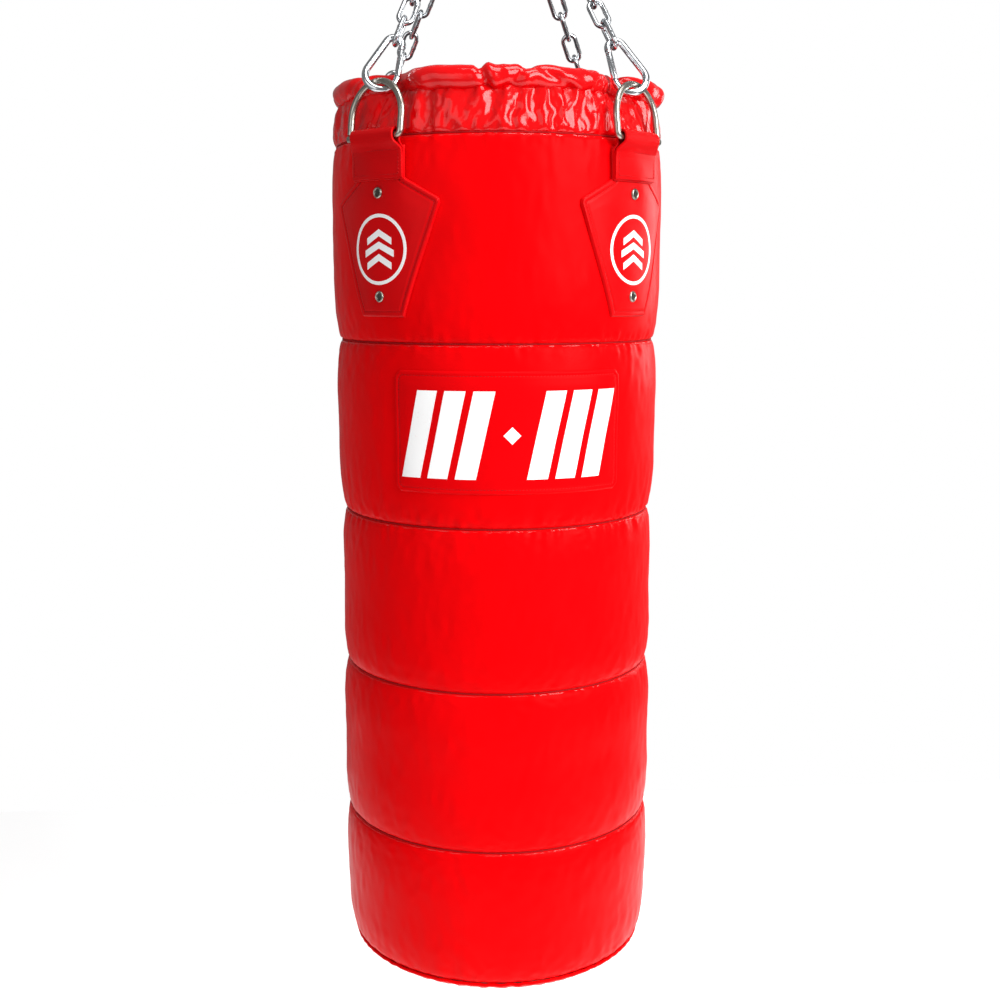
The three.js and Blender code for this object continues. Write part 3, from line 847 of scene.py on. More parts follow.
@dataclass(frozen=True)
class MetalFinish:
    """Plated or bare metal with fine scratches and duller patches.

    Attributes:
        name: the material's name.
        colour: the clean metal.
        dull: the tarnished tone.
        roughness: its middle roughness.
        spread: how far the roughness wanders.
    """

    name: str
    colour: int
    dull: int
    roughness: float
    spread: float = 0.08

    def make(self) -> Material:
        """Returns the finished material."""
        recipe = Recipe(self.name)
        recipe.set(Metallic=1.0)
        patches = recipe.sum(recipe.noise(0.009, 5), recipe.noise(0.0016, 3), 0.35)
        colour = recipe.blend(recipe.ranged(patches, 0.45, 0.8), srgb(self.dull), srgb(self.colour))
        rough = (self.roughness + self.spread, self.roughness - self.spread)
        roughness = recipe.ranged(patches, 0.45, 0.8, rough)
        scratches = recipe.noise(0.0011, 6, 2.5)
        normal = recipe.bump(scratches, 0.00004, 0.4)
        return recipe.feed(Base_Color=colour, Roughness=roughness, Normal=normal)


@dataclass(frozen=True)
class WovenFinish:
    """Woven or spun stuff: lining, canvas, tape, thread, foam and filling.

    Attributes:
        name: the material's name.
        light: the upper threads.
        dark: the lower threads.
        thread: thread spacing in metres.
        lift: relief in metres.
        roughness: its roughness.
        fuzz: how much loose fibre it shows.
        directions: the axes that its threads cross; level cloth leaves out Z.
    """

    name: str
    light: int
    dark: int
    thread: float
    lift: float
    roughness: float = 0.85
    fuzz: float = 0.25
    directions: tuple[str, ...] = ("X", "Y", "Z")

    def make(self) -> Material:
        """Returns the finished material."""
        recipe = Recipe(self.name)
        recipe.set(
            Roughness=self.roughness, Sheen_Weight=self.fuzz, Sheen_Roughness=0.5,
            Specular_IOR_Level=0.2,
        )
        bands = []
        for direction in self.directions:
            wave = recipe.node(
                "ShaderNodeTexWave", Vector=recipe.place, Scale=0.314 / self.thread, Distortion=0.6
            )
            wave.bands_direction = direction
            bands.append(wave.outputs["Fac"])
        weave = bands[0]
        for band in bands[1:]:
            weave = recipe.sum(weave, band, 1.0)
        height = recipe.sum(weave, recipe.noise(self.thread * 1.5, 4), 0.8)
        shade = recipe.ranged(height, 0.27 * len(bands), 0.87 * len(bands))
        colour = recipe.blend(shade, srgb(self.dark), srgb(self.light))
        return recipe.feed(Base_Color=colour, Normal=recipe.bump(height, self.lift, 0.6))


@dataclass(frozen=True)
class PrintFinish:
    """White screen print with small gaps in the ink.

    Attributes:
        name: the material's name.
        ink: colour of the full ink.
        worn: colour where the ink is thin.
    """

    name: str
    ink: int
    worn: int

    def make(self) -> Material:
        """Returns the finished material."""
        recipe = Recipe(self.name)
        recipe.set(Specular_IOR_Level=0.3)
        wear = recipe.sum(recipe.noise(0.0016, 6), recipe.noise(0.02, 3), 0.5)
        colour = recipe.blend(recipe.ranged(wear, 0.42, 0.56), srgb(self.worn), srgb(self.ink))
        roughness = recipe.ranged(wear, 0.4, 0.9, (0.5, 0.36))
        bump = recipe.bump(wear, 0.00004, 0.5)
        return recipe.feed(Base_Color=colour, Roughness=roughness, Normal=bump)


class Finishes:
    """Every finish of the bag, made once."""

    def __init__(self) -> None:
        """Makes the materials."""
        self.leather = LeatherFinish("red coated leather", 0xE80308, 0xDE0307).make()
        self.collar = LeatherFinish(
            "red gathered leather", 0xE00309, 0xCC0308, 0.14, 0.04, gloss=0.46, tint=0.85
        ).make()
        self.label = LeatherFinish("red label leather", 0xE2040A, 0xD60409, 0.34, 0.05).make()
        self.patch = LeatherFinish(
            "red patch leather", 0xD2040A, 0xC60409, 0.36, 0.06, 0.0009, gloss=0.2, tint=0.3
        ).make()
        self.strap = LeatherFinish(
            "red strap leather", 0xCC040A, 0xBA0409, 0.36, 0.06, 0.0009, gloss=0.2, tint=0.3
        ).make()
        self.thread = WovenFinish(
            "red thread", 0xCC0A12, 0x9C060B, 0.0005, 0.00008, 0.6, 0.0
        ).make()
        self.seam = WovenFinish("seam thread", 0xB40409, 0x7E0307, 0.0006, 0.0001, 0.7, 0.0).make()
        self.lining = WovenFinish(
            "black lining", 0x38383C, 0x161618, 0.0009, 0.0001, 0.8, 0.25, ("X", "Y")
        ).make()
        self.tape = WovenFinish(
            "zip tape", 0x2C2C30, 0x101012, 0.0006, 0.0001, 0.75, 0.25, ("X", "Y")
        ).make()
        self.canvas = WovenFinish("canvas", 0xB9AE94, 0x8F8468, 0.0012, 0.0002, 0.95).make()
        self.foam = WovenFinish("foam", 0xD8D2C4, 0xB6AF9E, 0.0016, 0.0002, 0.95).make()
        self.filling = WovenFinish(
            "shredded filling", 0x9C9690, 0x5E5A56, 0.004, 0.0012, 1.0
        ).make()
        self.zinc = MetalFinish("bright zinc", 0xE2E5E8, 0xB4B8BC, 0.2, 0.07).make()
        self.nickel = MetalFinish("dull nickel", 0xB9B4AA, 0x8D887E, 0.32, 0.08).make()
        # darker nickel for the rivet heads' dimples: a painted dark reflection
        self.painted_reflection_nickel = MetalFinish("rivet hollow", 0x77736C, 0x4E4A45, 0.4, 0.08).make()
        self.steel = MetalFinish("turned steel", 0xC4C6C8, 0x9A9CA0, 0.28, 0.08).make()
        self.zip_metal = MetalFinish("zip metal", 0xA9A9A5, 0x7E7E7A, 0.34, 0.08).make()
        self.print = PrintFinish("white print", 0xFFFFFF, 0xF2DADC).make()

    def dress_nodes(self) -> None:
        """Gives every carried-over CAD node its material."""
        kept = {
            "stuffing_core": self.filling,
            "inner_liner": self.canvas,
            "foam_wrap": self.foam,
            "swivel_bearing": self.zip_metal,
            "zip_slider": self.zip_metal,
            "zip_pull": self.zip_metal,
        }
        for name, finish in kept.items():
            dress(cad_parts[name], finish)


def dress(obj: Object, finish: Material) -> None:
    """Gives a whole piece one finish."""
    obj.data.materials.clear()
    obj.data.materials.append(finish)


def hand_over(obj: Object, body: str, slot: Slot | None, *nodes: str) -> None:
    """Ties a finished piece to its body and the CAD nodes that it stands for.

    Args:
        obj: the finished piece.
        body: the CAD body that it rides on.
        slot: the record's material slot, if it takes its finish from one. Not used.
        nodes: CAD nodes that it replaces.
    """
    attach(obj, body)
    if nodes:
        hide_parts(*nodes)
    log.info("%s: %d faces", obj.name, len(obj.data.polygons))


# ---------- the padded cover ----------

PANEL_SKINS = (
    SkinLine(((401.2, 180.4), (388, 182.0), (300, 183.2), (208, 180.4), (192.6, 177.6))),
    SkinLine(((191.8, 177.6), (176, 180.0), (96, 180.8), (15, 177.8), (0.4, 174.8))),
    SkinLine(((-0.4, 174.8), (-14, 176.8), (-88, 177.6), (-164, 177.2), (-177.6, 175.2))),
    SkinLine(((-178.4, 175.2), (-192, 178.0), (-266, 178.8), (-342, 178.2), (-355.6, 176.4))),
    SkinLine((
        (-356.4, 176.4), (-370, 178.2), (-450, 178.4), (-488, 176.6), (-502, 174.0),
        (-510.4, 171.3),
    )),
)
PATCH_OUTLINE = Outline((
    (-30, 219), (30, 219), (72.5, 333), (71.5, 338), (33, 359), (32, 391.5),
    (-32, 391.5), (-33, 359), (-71.5, 338), (-72.5, 333),
))
LABEL_OUTLINE = Outline((
    (-127, 44), (-121, 38), (121, 38), (127, 44), (127, 159), (121, 165), (-121, 165), (-127, 159),
))
PATCH_ARC_R = 184.0
LABEL_ARC_R = 180.8


@dataclass
class CoverPanel:
    """One padded band of the cover, blown up between its two seams.

    Attributes:
        number: 1 at the top to 5 at the bottom.
        skin: its outline before it is blown up.
        pucker_top: height of the small gathers under its upper seam, in millimetres.
        pucker_foot: the same above its lower seam.
        columns: faces round the bag before the last subdivision.
        rows: faces up the band before the last subdivision.
        thickness: of the leather, in millimetres.
        groove: how far the leather dips at a seam, in millimetres.
    """

    number: int
    skin: SkinLine
    pucker_top: float
    pucker_foot: float
    columns: int = 220
    rows: int = 28
    thickness: float = 2.4
    groove: float = 2.6

    def build(self, finish: Material) -> None:
        """Models the band and hands it over."""
        tube = mapped_grid(f"cover_band_{self.number}", self.columns, self.rows, self.flat_shape)
        with editing(tube):
            bpy.ops.mesh.remove_doubles(threshold=1e-5)
        self.blow(tube)
        modify(tube, "SUBSURF", levels=1, render_levels=1)
        self.sew(tube)
        middle = (self.skin.top + self.skin.foot) / 2
        add_inner_wall(tube, 1 - self.thickness / self.skin.stations[0][1], middle)
        finish_mesh(tube, smooth=60)
        dress(tube, finish)
        hand_over(tube, Body.BAG.value, Slot.LEATHER, f"cover_panel_{self.number}")

    def flat_shape(self, u: np.ndarray, v: np.ndarray) -> np.ndarray:
        """Lays the grid over the unwrinkled band, with its rows crowded towards the seams."""
        crowded = v - 0.11 * np.sin(2 * np.pi * v)
        z = self.skin.foot + (self.skin.top - self.skin.foot) * crowded
        return wrapped((u * 2 - 1) * np.pi, self.skin.radius(z), z)

    def blow(self, tube: Object) -> None:
        """Runs the cloth, and keeps the leather down where a patch is sewn on."""
        rest = points_of(tube)
        azimuth, radius, z = azimuth_of(rest), np.hypot(rest[:, 0], rest[:, 1]), rest[:, 2]
        edge = np.minimum(z - self.skin.foot, self.skin.top - z) < 1e-5
        draws = np.random.default_rng(self.number)
        slack = radius * 1.003 + 0.0004 * draws.standard_normal(len(radius)) * ~edge
        run = ClothRun(pressure=3.2, bending=2.6, cap=3.6)
        run.blow(tube, wrapped(azimuth, slack, z), rest, edge)
        blown = points_of(tube)
        swell = np.hypot(blown[:, 0], blown[:, 1]) - radius
        held = self.sewn_down(azimuth, z)
        swell = swell * (1 - held) + np.minimum(swell, 0) * 0.3 * held
        set_points(tube, wrapped(azimuth_of(blown), radius + swell, blown[:, 2]))

    def sewn_down(self, azimuth: np.ndarray, z: np.ndarray) -> np.ndarray:
        """Returns 1 where a patch or the label lies on the band, and 0 away from them."""
        height = (z - SEAM_C_Z) / MM
        if self.number == 1:
            turn = (np.mod(azimuth / DEG, 90) - 45) * DEG
            depth = PATCH_OUTLINE.depth(turn * PATCH_ARC_R, height)
        elif self.number == 2:
            depth = LABEL_OUTLINE.depth(azimuth * LABEL_ARC_R, height)
        else:
            return np.zeros(len(azimuth))
        return smooth_step(depth, -22, -3)

    def sew(self, tube: Object) -> None:
        """Draws the leather in along both seams and gathers it there in small puckers."""
        points = points_of(tube)
        azimuth, radius, z = azimuth_of(points), np.hypot(points[:, 0], points[:, 1]), points[:, 2]
        free = 1 - self.sewn_down(azimuth, z)
        seams = (self.skin.top, self.pucker_top, 1), (self.skin.foot, self.pucker_foot, 2)
        for edge, pucker, seed in seams:
            away = np.abs(z - edge) / MM
            radius = radius - self.groove * MM * np.exp(-away / 2.4)
            short = Ripples(self.number * 10 + seed, (60, 110), 60)
            longer = Ripples(self.number * 20 + seed, (22, 48), 40)
            front = 0.55 + 0.45 * gathered(azimuth)
            waves = short.at(azimuth, z) * np.exp(-away / 7)
            waves = waves + 0.8 * longer.at(azimuth, z) * np.exp(-away / 16)
            rise = smooth_step(away, 0, 2.5)
            radius = radius + pucker * MM * waves * front * rise * free
        set_points(tube, wrapped(azimuth, radius, z))


@dataclass
class Seams:
    """Dark seams between the bands, each with the stitched edge of the leather puckered beneath it.

    Attributes:
        stations: height from the middle seam and radius of the leather there, in millimetres.
        drop: from a seam down to its puckered edge, in millimetres.
        sunk: how deep the cord's centre lies in the groove, in millimetres.
        cord: the cord's radius, in millimetres.
    """

    stations: Stations = (
        (401.5, 180.4), (192.2, 177.6), (0, 174.8), (-178, 175.2), (-356, 176.4),
    )
    drop: float = 2.6
    sunk: float = 2.3
    cord: float = 0.9

    def build(self, finish: Material, edge: Material) -> None:
        """Models the seams and hands them over."""
        for letter, (height, radius) in zip("ABCDE", self.stations):
            seam = round_cord(f"seam_{letter}", radius - self.sunk, self.cord, height)
            points = points_of(seam)
            azimuth, span = azimuth_of(points), np.hypot(points[:, 0], points[:, 1])
            uneven = Ripples(ord(letter), (30, 60)).at(azimuth, points[:, 2])
            beads = 0.00018 * np.cos(azimuth * 180) + 0.0002 * uneven
            set_points(seam, wrapped(azimuth, span + beads, points[:, 2]))
            finish_mesh(seam)
            dress(seam, finish)
            hand_over(seam, Body.BAG.value, None)
            self.build_edge(letter, height, radius, edge)

    def build_edge(self, letter: str, height: float, radius: float, finish: Material) -> None:
        """Models the stitched edge beneath one seam, pulled into puckers at the front."""
        seed = ord(letter)

        def shape(u: np.ndarray, v: np.ndarray) -> np.ndarray:
            """Lays the grid round the edge: u round the bag, v round its section."""
            azimuth, section = (u * 2 - 1) * np.pi, v * 2 * np.pi
            short = Ripples(seed, (90, 200), 0).at(azimuth, 0 * azimuth)
            wander = Ripples(seed + 30, (14, 40), 0).at(azimuth, 0 * azimuth)
            pull = np.clip(gathered(azimuth), 0.15, 1)
            thick = 0.95 + 0.3 * pull * short
            reach = radius - 1.5 + 0.35 * pull * wander + thick * np.cos(section)
            z = height - self.drop + 0.35 * pull * wander + (thick + 0.3) * np.sin(section)
            return wrapped(azimuth, reach * MM, row_z(z))

        edge = mapped_grid(f"seam_edge_{letter}", 900, 8, shape)
        finish_mesh(edge, merge=1e-6, smooth=70)
        dress(edge, finish)
        hand_over(edge, Body.BAG.value, Slot.LEATHER)


@dataclass
class Collar:
    """Gathered band between the upper seam and the rim.

    Attributes:
        skin: its outline before it is gathered.
        columns: faces round the bag before the last subdivision.
        rows: faces up the band before the last subdivision.
        inner_share: radius of its inner wall against the outer one.
    """

    skin: SkinLine = SkinLine(((452, 171.5), (442.6, 178.0), (420, 181.2), (401.8, 180.4)))
    columns: int = 320
    rows: int = 12
    inner_share: float = 0.984

    def build(self, finish: Material) -> None:
        """Models the band and hands it over."""
        tube = mapped_grid("collar_gathers", self.columns, self.rows, self.flat_shape)
        with editing(tube):
            bpy.ops.mesh.remove_doubles(threshold=1e-5)
        rest = points_of(tube)
        azimuth, radius, z = azimuth_of(rest), np.hypot(rest[:, 0], rest[:, 1]), rest[:, 2]
        edge = np.minimum(z - self.skin.foot, self.skin.top - z) < 1e-5
        draws = np.random.default_rng(77)
        extra = 1 + 0.03 + 0.13 * gathered(azimuth)
        slack = radius * extra + 0.0006 * draws.standard_normal(len(radius)) * ~edge
        run = ClothRun(pressure=2.5, bending=0.12, cap=6)
        run.blow(tube, wrapped(azimuth, slack, z), rest, edge)
        modify(tube, "SUBSURF", levels=1, render_levels=1)
        self.gather(tube)
        add_inner_wall(tube, self.inner_share, self.skin.foot)
        finish_mesh(tube, smooth=60)
        dress(tube, finish)
        hand_over(tube, Body.BAG.value, Slot.LEATHER, "collar_band")

    def flat_shape(self, u: np.ndarray, v: np.ndarray) -> np.ndarray:
        """Lays the grid over the band, pushed in behind the hangers."""
        z = self.skin.foot + (self.skin.top - self.skin.foot) * v
        azimuth = (u * 2 - 1) * np.pi
        return wrapped(azimuth, self.skin.radius(z) * hanger_dent(azimuth, z), z)

    def gather(self, tube: Object) -> None:
        """Adds upright folds below the rim and small puckers along the seam."""
        points = points_of(tube)
        azimuth, radius, z = azimuth_of(points), np.hypot(points[:, 0], points[:, 1]), points[:, 2]
        rise = (z - self.skin.foot) / (self.skin.top - self.skin.foot)
        folds = Ripples(5, (26, 64), 35).at(azimuth, z) * smooth_step(rise, 0.25, 1.0)
        small = Ripples(6, (60, 120), 60).at(azimuth, z) * np.exp(-rise / 0.16) * smooth_step(rise, 0, 0.07)
        pull = 0.0012 * folds * gathered(azimuth) + 0.0008 * small
        groove = 0.0026 * np.exp(-rise * 50 / 2.4)
        set_points(tube, wrapped(azimuth, radius + pull - groove, z))


@dataclass
class RimRoll:
    """Thick rolled rim, twisted and creased by its draw cord.

    Attributes:
        radius: from the bag's axis to the roll's centre, in millimetres.
        tube: the roll's own radius, in millimetres.
        height: of its centre above the middle seam, in millimetres.
        creases: azimuth, half width and depth of each sharp crease, in degrees and millimetres,
            and its slant.
    """

    radius: float = 169.0
    tube: float = 12.0
    height: float = 455.0
    creases: tuple[tuple[float, float, float, float], ...] = (
        (-9, 1.4, 4.0, 3), (2, 1.8, 2.2, -6), (14, 2.4, 2.6, 14), (31, 1.6, 2.4, -8),
        (52, 1.8, 3.0, 6), (70, 2.2, 3.4, -5), (-27, 2.6, 0.7, 8), (-62, 1.8, 2.6, -6),
        (-84, 2.0, 2.4, 7), (-110, 1.8, 3.0, -8), (-140, 2.0, 2.4, 6), (-166, 1.6, 3.2, 9),
        (160, 2.2, 2.6, -9), (128, 1.6, 3.0, 7), (101, 2.2, 2.2, -6),
    )

    def build(self, finish: Material) -> None:
        """Models the roll and hands it over."""
        roll = mapped_grid("rim_roll_gathers", 440, 36, self.shape)
        finish_mesh(roll, merge=1e-5, smooth=70)
        dress(roll, finish)
        hand_over(roll, Body.BAG.value, Slot.LEATHER, "rim_roll")

    def shape(self, u: np.ndarray, v: np.ndarray) -> np.ndarray:
        """Lays the grid: u round the bag, v round the roll from its outside upwards."""
        azimuth, section = (u * 2 - 1) * np.pi, v * 2 * np.pi
        low = Ripples(31, (3, 9), 0).at(azimuth, 0 * azimuth)
        tube = self.tube * (1.04 + 0.035 * low)
        pull = gathered(azimuth) * (1 - 0.85 * np.exp(-(((azimuth / DEG + 34) / 19) ** 2)))
        for number, (lobe, twist) in enumerate(((23, 1), (37, -2), (52, 1), (71, 2))):
            wander = 1.3 * Ripples(40 + number, (2, 7), 0).at(azimuth, 0 * azimuth)
            fold = 1 - 2 * np.abs(np.sin(0.5 * (lobe * azimuth + twist * section) + wander))
            tube = tube + (0.62 - 0.1 * number) * pull * fold
        for place, width, depth, slant in self.creases:
            off = (azimuth / DEG - place + slant * np.sin(section) * 0.5) / width
            tube = tube - depth * np.exp(-off * off) + 0.45 * depth * np.exp(-((off - 2.1) ** 2) / 2)
        centre = self.radius + 3.0 * np.exp(-(((azimuth / DEG - 74) / 12) ** 2)) + 0.8 * low
        lift = self.height + 0.7 * Ripples(33, (4, 11), 0).at(azimuth, 0 * azimuth)
        reach = (centre + tube * np.cos(section)) * MM
        z = (lift + 0.96 * tube * np.sin(section)) * MM + SEAM_C_Z
        dent = hanger_dent(azimuth, np.full_like(z, row_z(self.height)))
        return wrapped(azimuth, reach * dent, z)


@dataclass
class Base:
    """Round base with its frilled welt.

    Attributes:
        stations: radius and height from the middle seam of the sagging base, in millimetres,
            rim first.
        welt: radius, height and half thickness of the welt, in millimetres.
    """

    stations: Stations = (
        (168.9, -514.9), (165, -518.6), (157, -522.6), (142, -525.4), (90, -526.2), (40, -526.6),
        (0.5, -526.8),
    )
    welt: tuple[float, float, float] = (169.8, -512.5, 1.7)

    def build(self, finish: Material, seam: Material) -> None:
        """Models the base and its welt and hands them over."""
        base = mapped_grid("base_round", 240, 44, self.shape)
        finish_mesh(base, merge=1e-5)
        thicken(base, 0.0022, finish)
        hand_over(base, Body.BAG.value, Slot.LEATHER, "base_panel")
        welt = mapped_grid("base_welt_frill", 480, 10, self.welt_shape)
        finish_mesh(welt, merge=1e-6, smooth=70)
        dress(welt, finish)
        hand_over(welt, Body.BAG.value, Slot.LEATHER, "base_welt")
        radius, height, _ = self.welt
        line = round_cord("seam_F", radius - 1.4, 0.7, height + 2.6)
        finish_mesh(line)
        dress(line, seam)
        hand_over(line, Body.BAG.value, None)

    def shape(self, u: np.ndarray, v: np.ndarray) -> np.ndarray:
        """Lays the grid over the base, from its middle out to the welt."""
        azimuth = (u * 2 - 1) * np.pi
        radii = np.array([radius for radius, _ in self.stations][::-1])
        heights = np.array([height for _, height in self.stations][::-1])
        rim = self.stations[0][0]
        radius = rim * np.sin(v * QUARTER) ** 0.9 + 0.01
        height = np.interp(radius, radii, heights)
        near = np.exp(-(rim - radius) / 14)
        puckers = Ripples(61, (30, 80), 0).at(azimuth, 0 * azimuth) * near
        broad = Ripples(62, (3, 8), 0).at(azimuth, 0 * azimuth) * np.sin(v * np.pi)
        return wrapped(azimuth, radius * MM, row_z(height + 0.7 * puckers + 0.6 * broad))

    def welt_shape(self, u: np.ndarray, v: np.ndarray) -> np.ndarray:
        """Lays the grid round the welt, waved by its stitching."""
        azimuth, section = (u * 2 - 1) * np.pi, v * 2 * np.pi
        radius, height, half = self.welt
        wave = Ripples(63, (40, 90), 0).at(azimuth, 0 * azimuth)
        drop = Ripples(64, (30, 70), 0).at(azimuth, 0 * azimuth)
        reach = radius + 0.3 * wave + (half + 0.2 * drop) * np.cos(section)
        z = height + 0.25 * drop + (half + 0.3) * np.sin(section)
        return wrapped(azimuth, reach * MM, row_z(z))


@dataclass
class TopLid:
    """Lining lid inside the rim, with its zip.

    Attributes:
        height: of its upper face above the middle seam, in millimetres.
        radius: of the lid, in millimetres.
        half_length: of the zip, in millimetres.
        half_width: of the zip's tape, in millimetres.
        tooth_pitch: of the zip's teeth, in millimetres.
    """

    height: float = 436.2
    radius: float = 173.6
    half_length: float = 112.0
    half_width: float = 12.0
    tooth_pitch: float = 3.0

    def build(self, finishes: Finishes) -> None:
        """Models the lid, the tape and the teeth and hands them over."""
        lid = mapped_grid("lid_cloth", 200, 40, self.shape)
        finish_mesh(lid, merge=1e-5)
        thicken(lid, 0.0014, finishes.lining)
        hand_over(lid, Body.BAG.value, Slot.LINING, "top_lid")
        self.build_tape(finishes.tape)
        self.build_teeth(finishes.zip_metal)

    def shape(self, u: np.ndarray, v: np.ndarray) -> np.ndarray:
        """Lays the grid over the lid, ruched towards the rim."""
        azimuth = (u * 2 - 1) * np.pi
        radius = self.radius * np.sin(v * QUARTER) ** 0.9 + 0.01
        z = row_z(self.height) + 0 * radius
        reach = radius * hanger_dent(azimuth, z)
        near = np.exp(-(self.radius - radius) / 30)
        ruched = Ripples(71, (18, 50), 0).at(azimuth, 0 * azimuth) * near
        sag = -2.2 * smooth_step(radius, 60, 130) * (1 - smooth_step(radius, 140, 173))
        beside = smooth_step(np.abs(np.cos(azimuth) * radius), 10, 26)
        return wrapped(azimuth, reach * MM, z + (0.5 * ruched * beside - 0.5 + sag * beside) * MM)

    def build_tape(self, finish: Material) -> None:
        """Models both halves of the tape, with their sewn edges."""
        low = row_z(self.height + 0.6)

        def shape(u: np.ndarray, v: np.ndarray) -> np.ndarray:
            """Lays the grid along the zip, with raised edges and a gap down the middle."""
            x = (u * 2 - 1) * self.half_length
            y = (v * 2 - 1) * self.half_width
            sewn = 0.35 * np.exp(-(((np.abs(y) - 9.5) / 0.8) ** 2))
            rise = 0.5 + sewn - 0.3 * np.exp(-((y / 1.4) ** 2))
            rise = rise * smooth_step(self.half_width - np.abs(y), 0, 0.8)
            return np.stack([x * MM, y * MM, low + (rise + 0.3) * MM], 1)

        tape = mapped_grid("zip_tape_cloth", 60, 48, shape)
        modify(tape, "SOLIDIFY", thickness=0.0003, offset=-1)
        finish_mesh(tape, smooth=50)
        dress(tape, finish)
        hand_over(tape, Body.BAG.value, Slot.LINING, "zip_tape")

    def build_teeth(self, finish: Material) -> None:
        """Models one tooth and sets it down both sides of the zip."""
        let_go()
        bpy.ops.mesh.primitive_cube_add(size=1, scale=(1.5 * MM, 3.0 * MM, 0.9 * MM))
        tooth = settle("tooth_model")
        modify(tooth, "BEVEL", width=0.3 * MM, segments=1)
        places = []
        steps = int(2 * (self.half_length - 6) / self.tooth_pitch)
        for i in range(steps):
            x = -self.half_length + 6 + i * self.tooth_pitch
            y = 0.9 if i % 2 else -0.9
            places.append(Matrix.Translation((x * MM, y * MM, row_z(self.height + 1.55))))
        teeth = stamped(tooth, places, "zip_teeth")
        dress(teeth, finish)
        hand_over(teeth, Body.BAG.value, Slot.ZIP_METAL)


# ---------- stitches, print, label and patches ----------


def stitch_model() -> Object:
    """Models one lockstitch, 2.5 mm long, lying along X with its crown towards Z."""
    let_go()
    bpy.ops.mesh.primitive_uv_sphere_add(
        segments=6, ring_count=5, radius=0.5, rotation=(0, 90 * DEG, 0)
    )
    stitch = settle("stitch_model")
    with editing(stitch):
        bpy.ops.transform.resize(value=(2.6 * MM, 0.85 * MM, 0.8 * MM), center_override=(0, 0, 0))
    return stitch


def stitch_places(
    corners: Sequence[tuple[float, float]], pitch: float, surface: Shape
) -> list[Matrix]:
    """Spreads stitches along a closed line on the unrolled cover.

    Args:
        corners: arc length and height of the line's corners, in millimetres.
        pitch: from stitch to stitch, in millimetres.
        surface: turns arc length and height in millimetres into rows of x, y, z.

    Returns:
        One place per stitch, with X along the line and Z out of the bag.
    """
    places = []
    for start, end in zip(corners, [*corners[1:], corners[0]]):
        a, b = np.array(start), np.array(end)
        length = float(np.hypot(*(b - a)))
        count = max(1, round(length / pitch))
        for i in range(count):
            middle = a + (b - a) * (i + 0.5) / count
            step = (b - a) / length * 0.5
            ends = surface(*np.stack([middle - step, middle + step], 1))
            along = Vector(ends[1] - ends[0]).normalized()
            spot = Vector((ends[0] + ends[1]) / 2)
            out = Vector((spot.x, spot.y, 0)).normalized()
            side = out.cross(along).normalized()
            places.append(basis(along, side, along.cross(side), spot))
    return places


def printed(name: str, shapes: Sequence[tuple[int, int, Shape]], surface: Shape) -> Object:
    """Lays flat printed shapes on a surface as one thin piece.

    Args:
        name: the new object's name.
        shapes: columns, rows and outline of each shape, which turns u and v into arc length and
            height.
        surface: turns arc length and height in millimetres into rows of x, y, z.

    Returns:
        The new object.
    """
    pieces = []
    for number, (columns, rows, outline) in enumerate(shapes):

        def lay(u: np.ndarray, v: np.ndarray, outline: Shape = outline) -> np.ndarray:
            """Carries one printed shape onto the surface."""
            flat = outline(u, v)
            return surface(flat[:, 0], flat[:, 1])

        piece = mapped_grid(f"{name}_{number}", columns, rows, lay)
        finish_mesh(piece)
        pieces.append(piece)
    let_go()
    for piece in pieces:
        piece.select_set(True)
    bpy.context.view_layer.objects.active = pieces[0]
    bpy.ops.object.join()
    print_piece = bpy.context.object
    print_piece.name = name
    return print_piece


def slanted_bar(low: tuple[float, float], width: float, height: float, slant: float) -> Shape:
    """Returns the outline of an upright bar.

    Args:
        low: arc length and height of its lower left corner, in millimetres.
        width: its width.
        height: its height.
        slant: how far its top leans towards +arc.
    """

    def outline(u: np.ndarray, v: np.ndarray) -> np.ndarray:
        """Turns u and v into arc length and height."""
        return np.stack([low[0] + u * width + v * slant, low[1] + v * height], 1)

    return outline


def diamond(centre: tuple[float, float], half: float) -> Shape:
    """Returns the outline of a square that stands on its corner."""

    def outline(u: np.ndarray, v: np.ndarray) -> np.ndarray:
        """Turns u and v into arc length and height."""
        return np.stack([centre[0] + (u - v) * half, centre[1] + (u + v - 1) * half], 1)

    return outline


def ring_band(centre: tuple[float, float], outer: float, inner: float) -> Shape:
    """Returns the outline of a flat ring."""

    def outline(u: np.ndarray, v: np.ndarray) -> np.ndarray:
        """Turns u and v into arc length and height."""
        reach = inner + (outer - inner) * v
        angle = -u * 2 * np.pi
        return np.stack([centre[0] + reach * np.cos(angle), centre[1] + reach * np.sin(angle)], 1)

    return outline


def chevron(foot: float, reach: float) -> Shape:
    """Returns a plain chevron pointing up, from the height of its foot and its half width."""

    def outline(u: np.ndarray, v: np.ndarray) -> np.ndarray:
        """Turns u and v into places on the chevron."""
        out = u * 2 - 1
        return np.stack([out * reach, foot + 9 * (1 - np.abs(out)) + 7 * v], 1)

    return outline


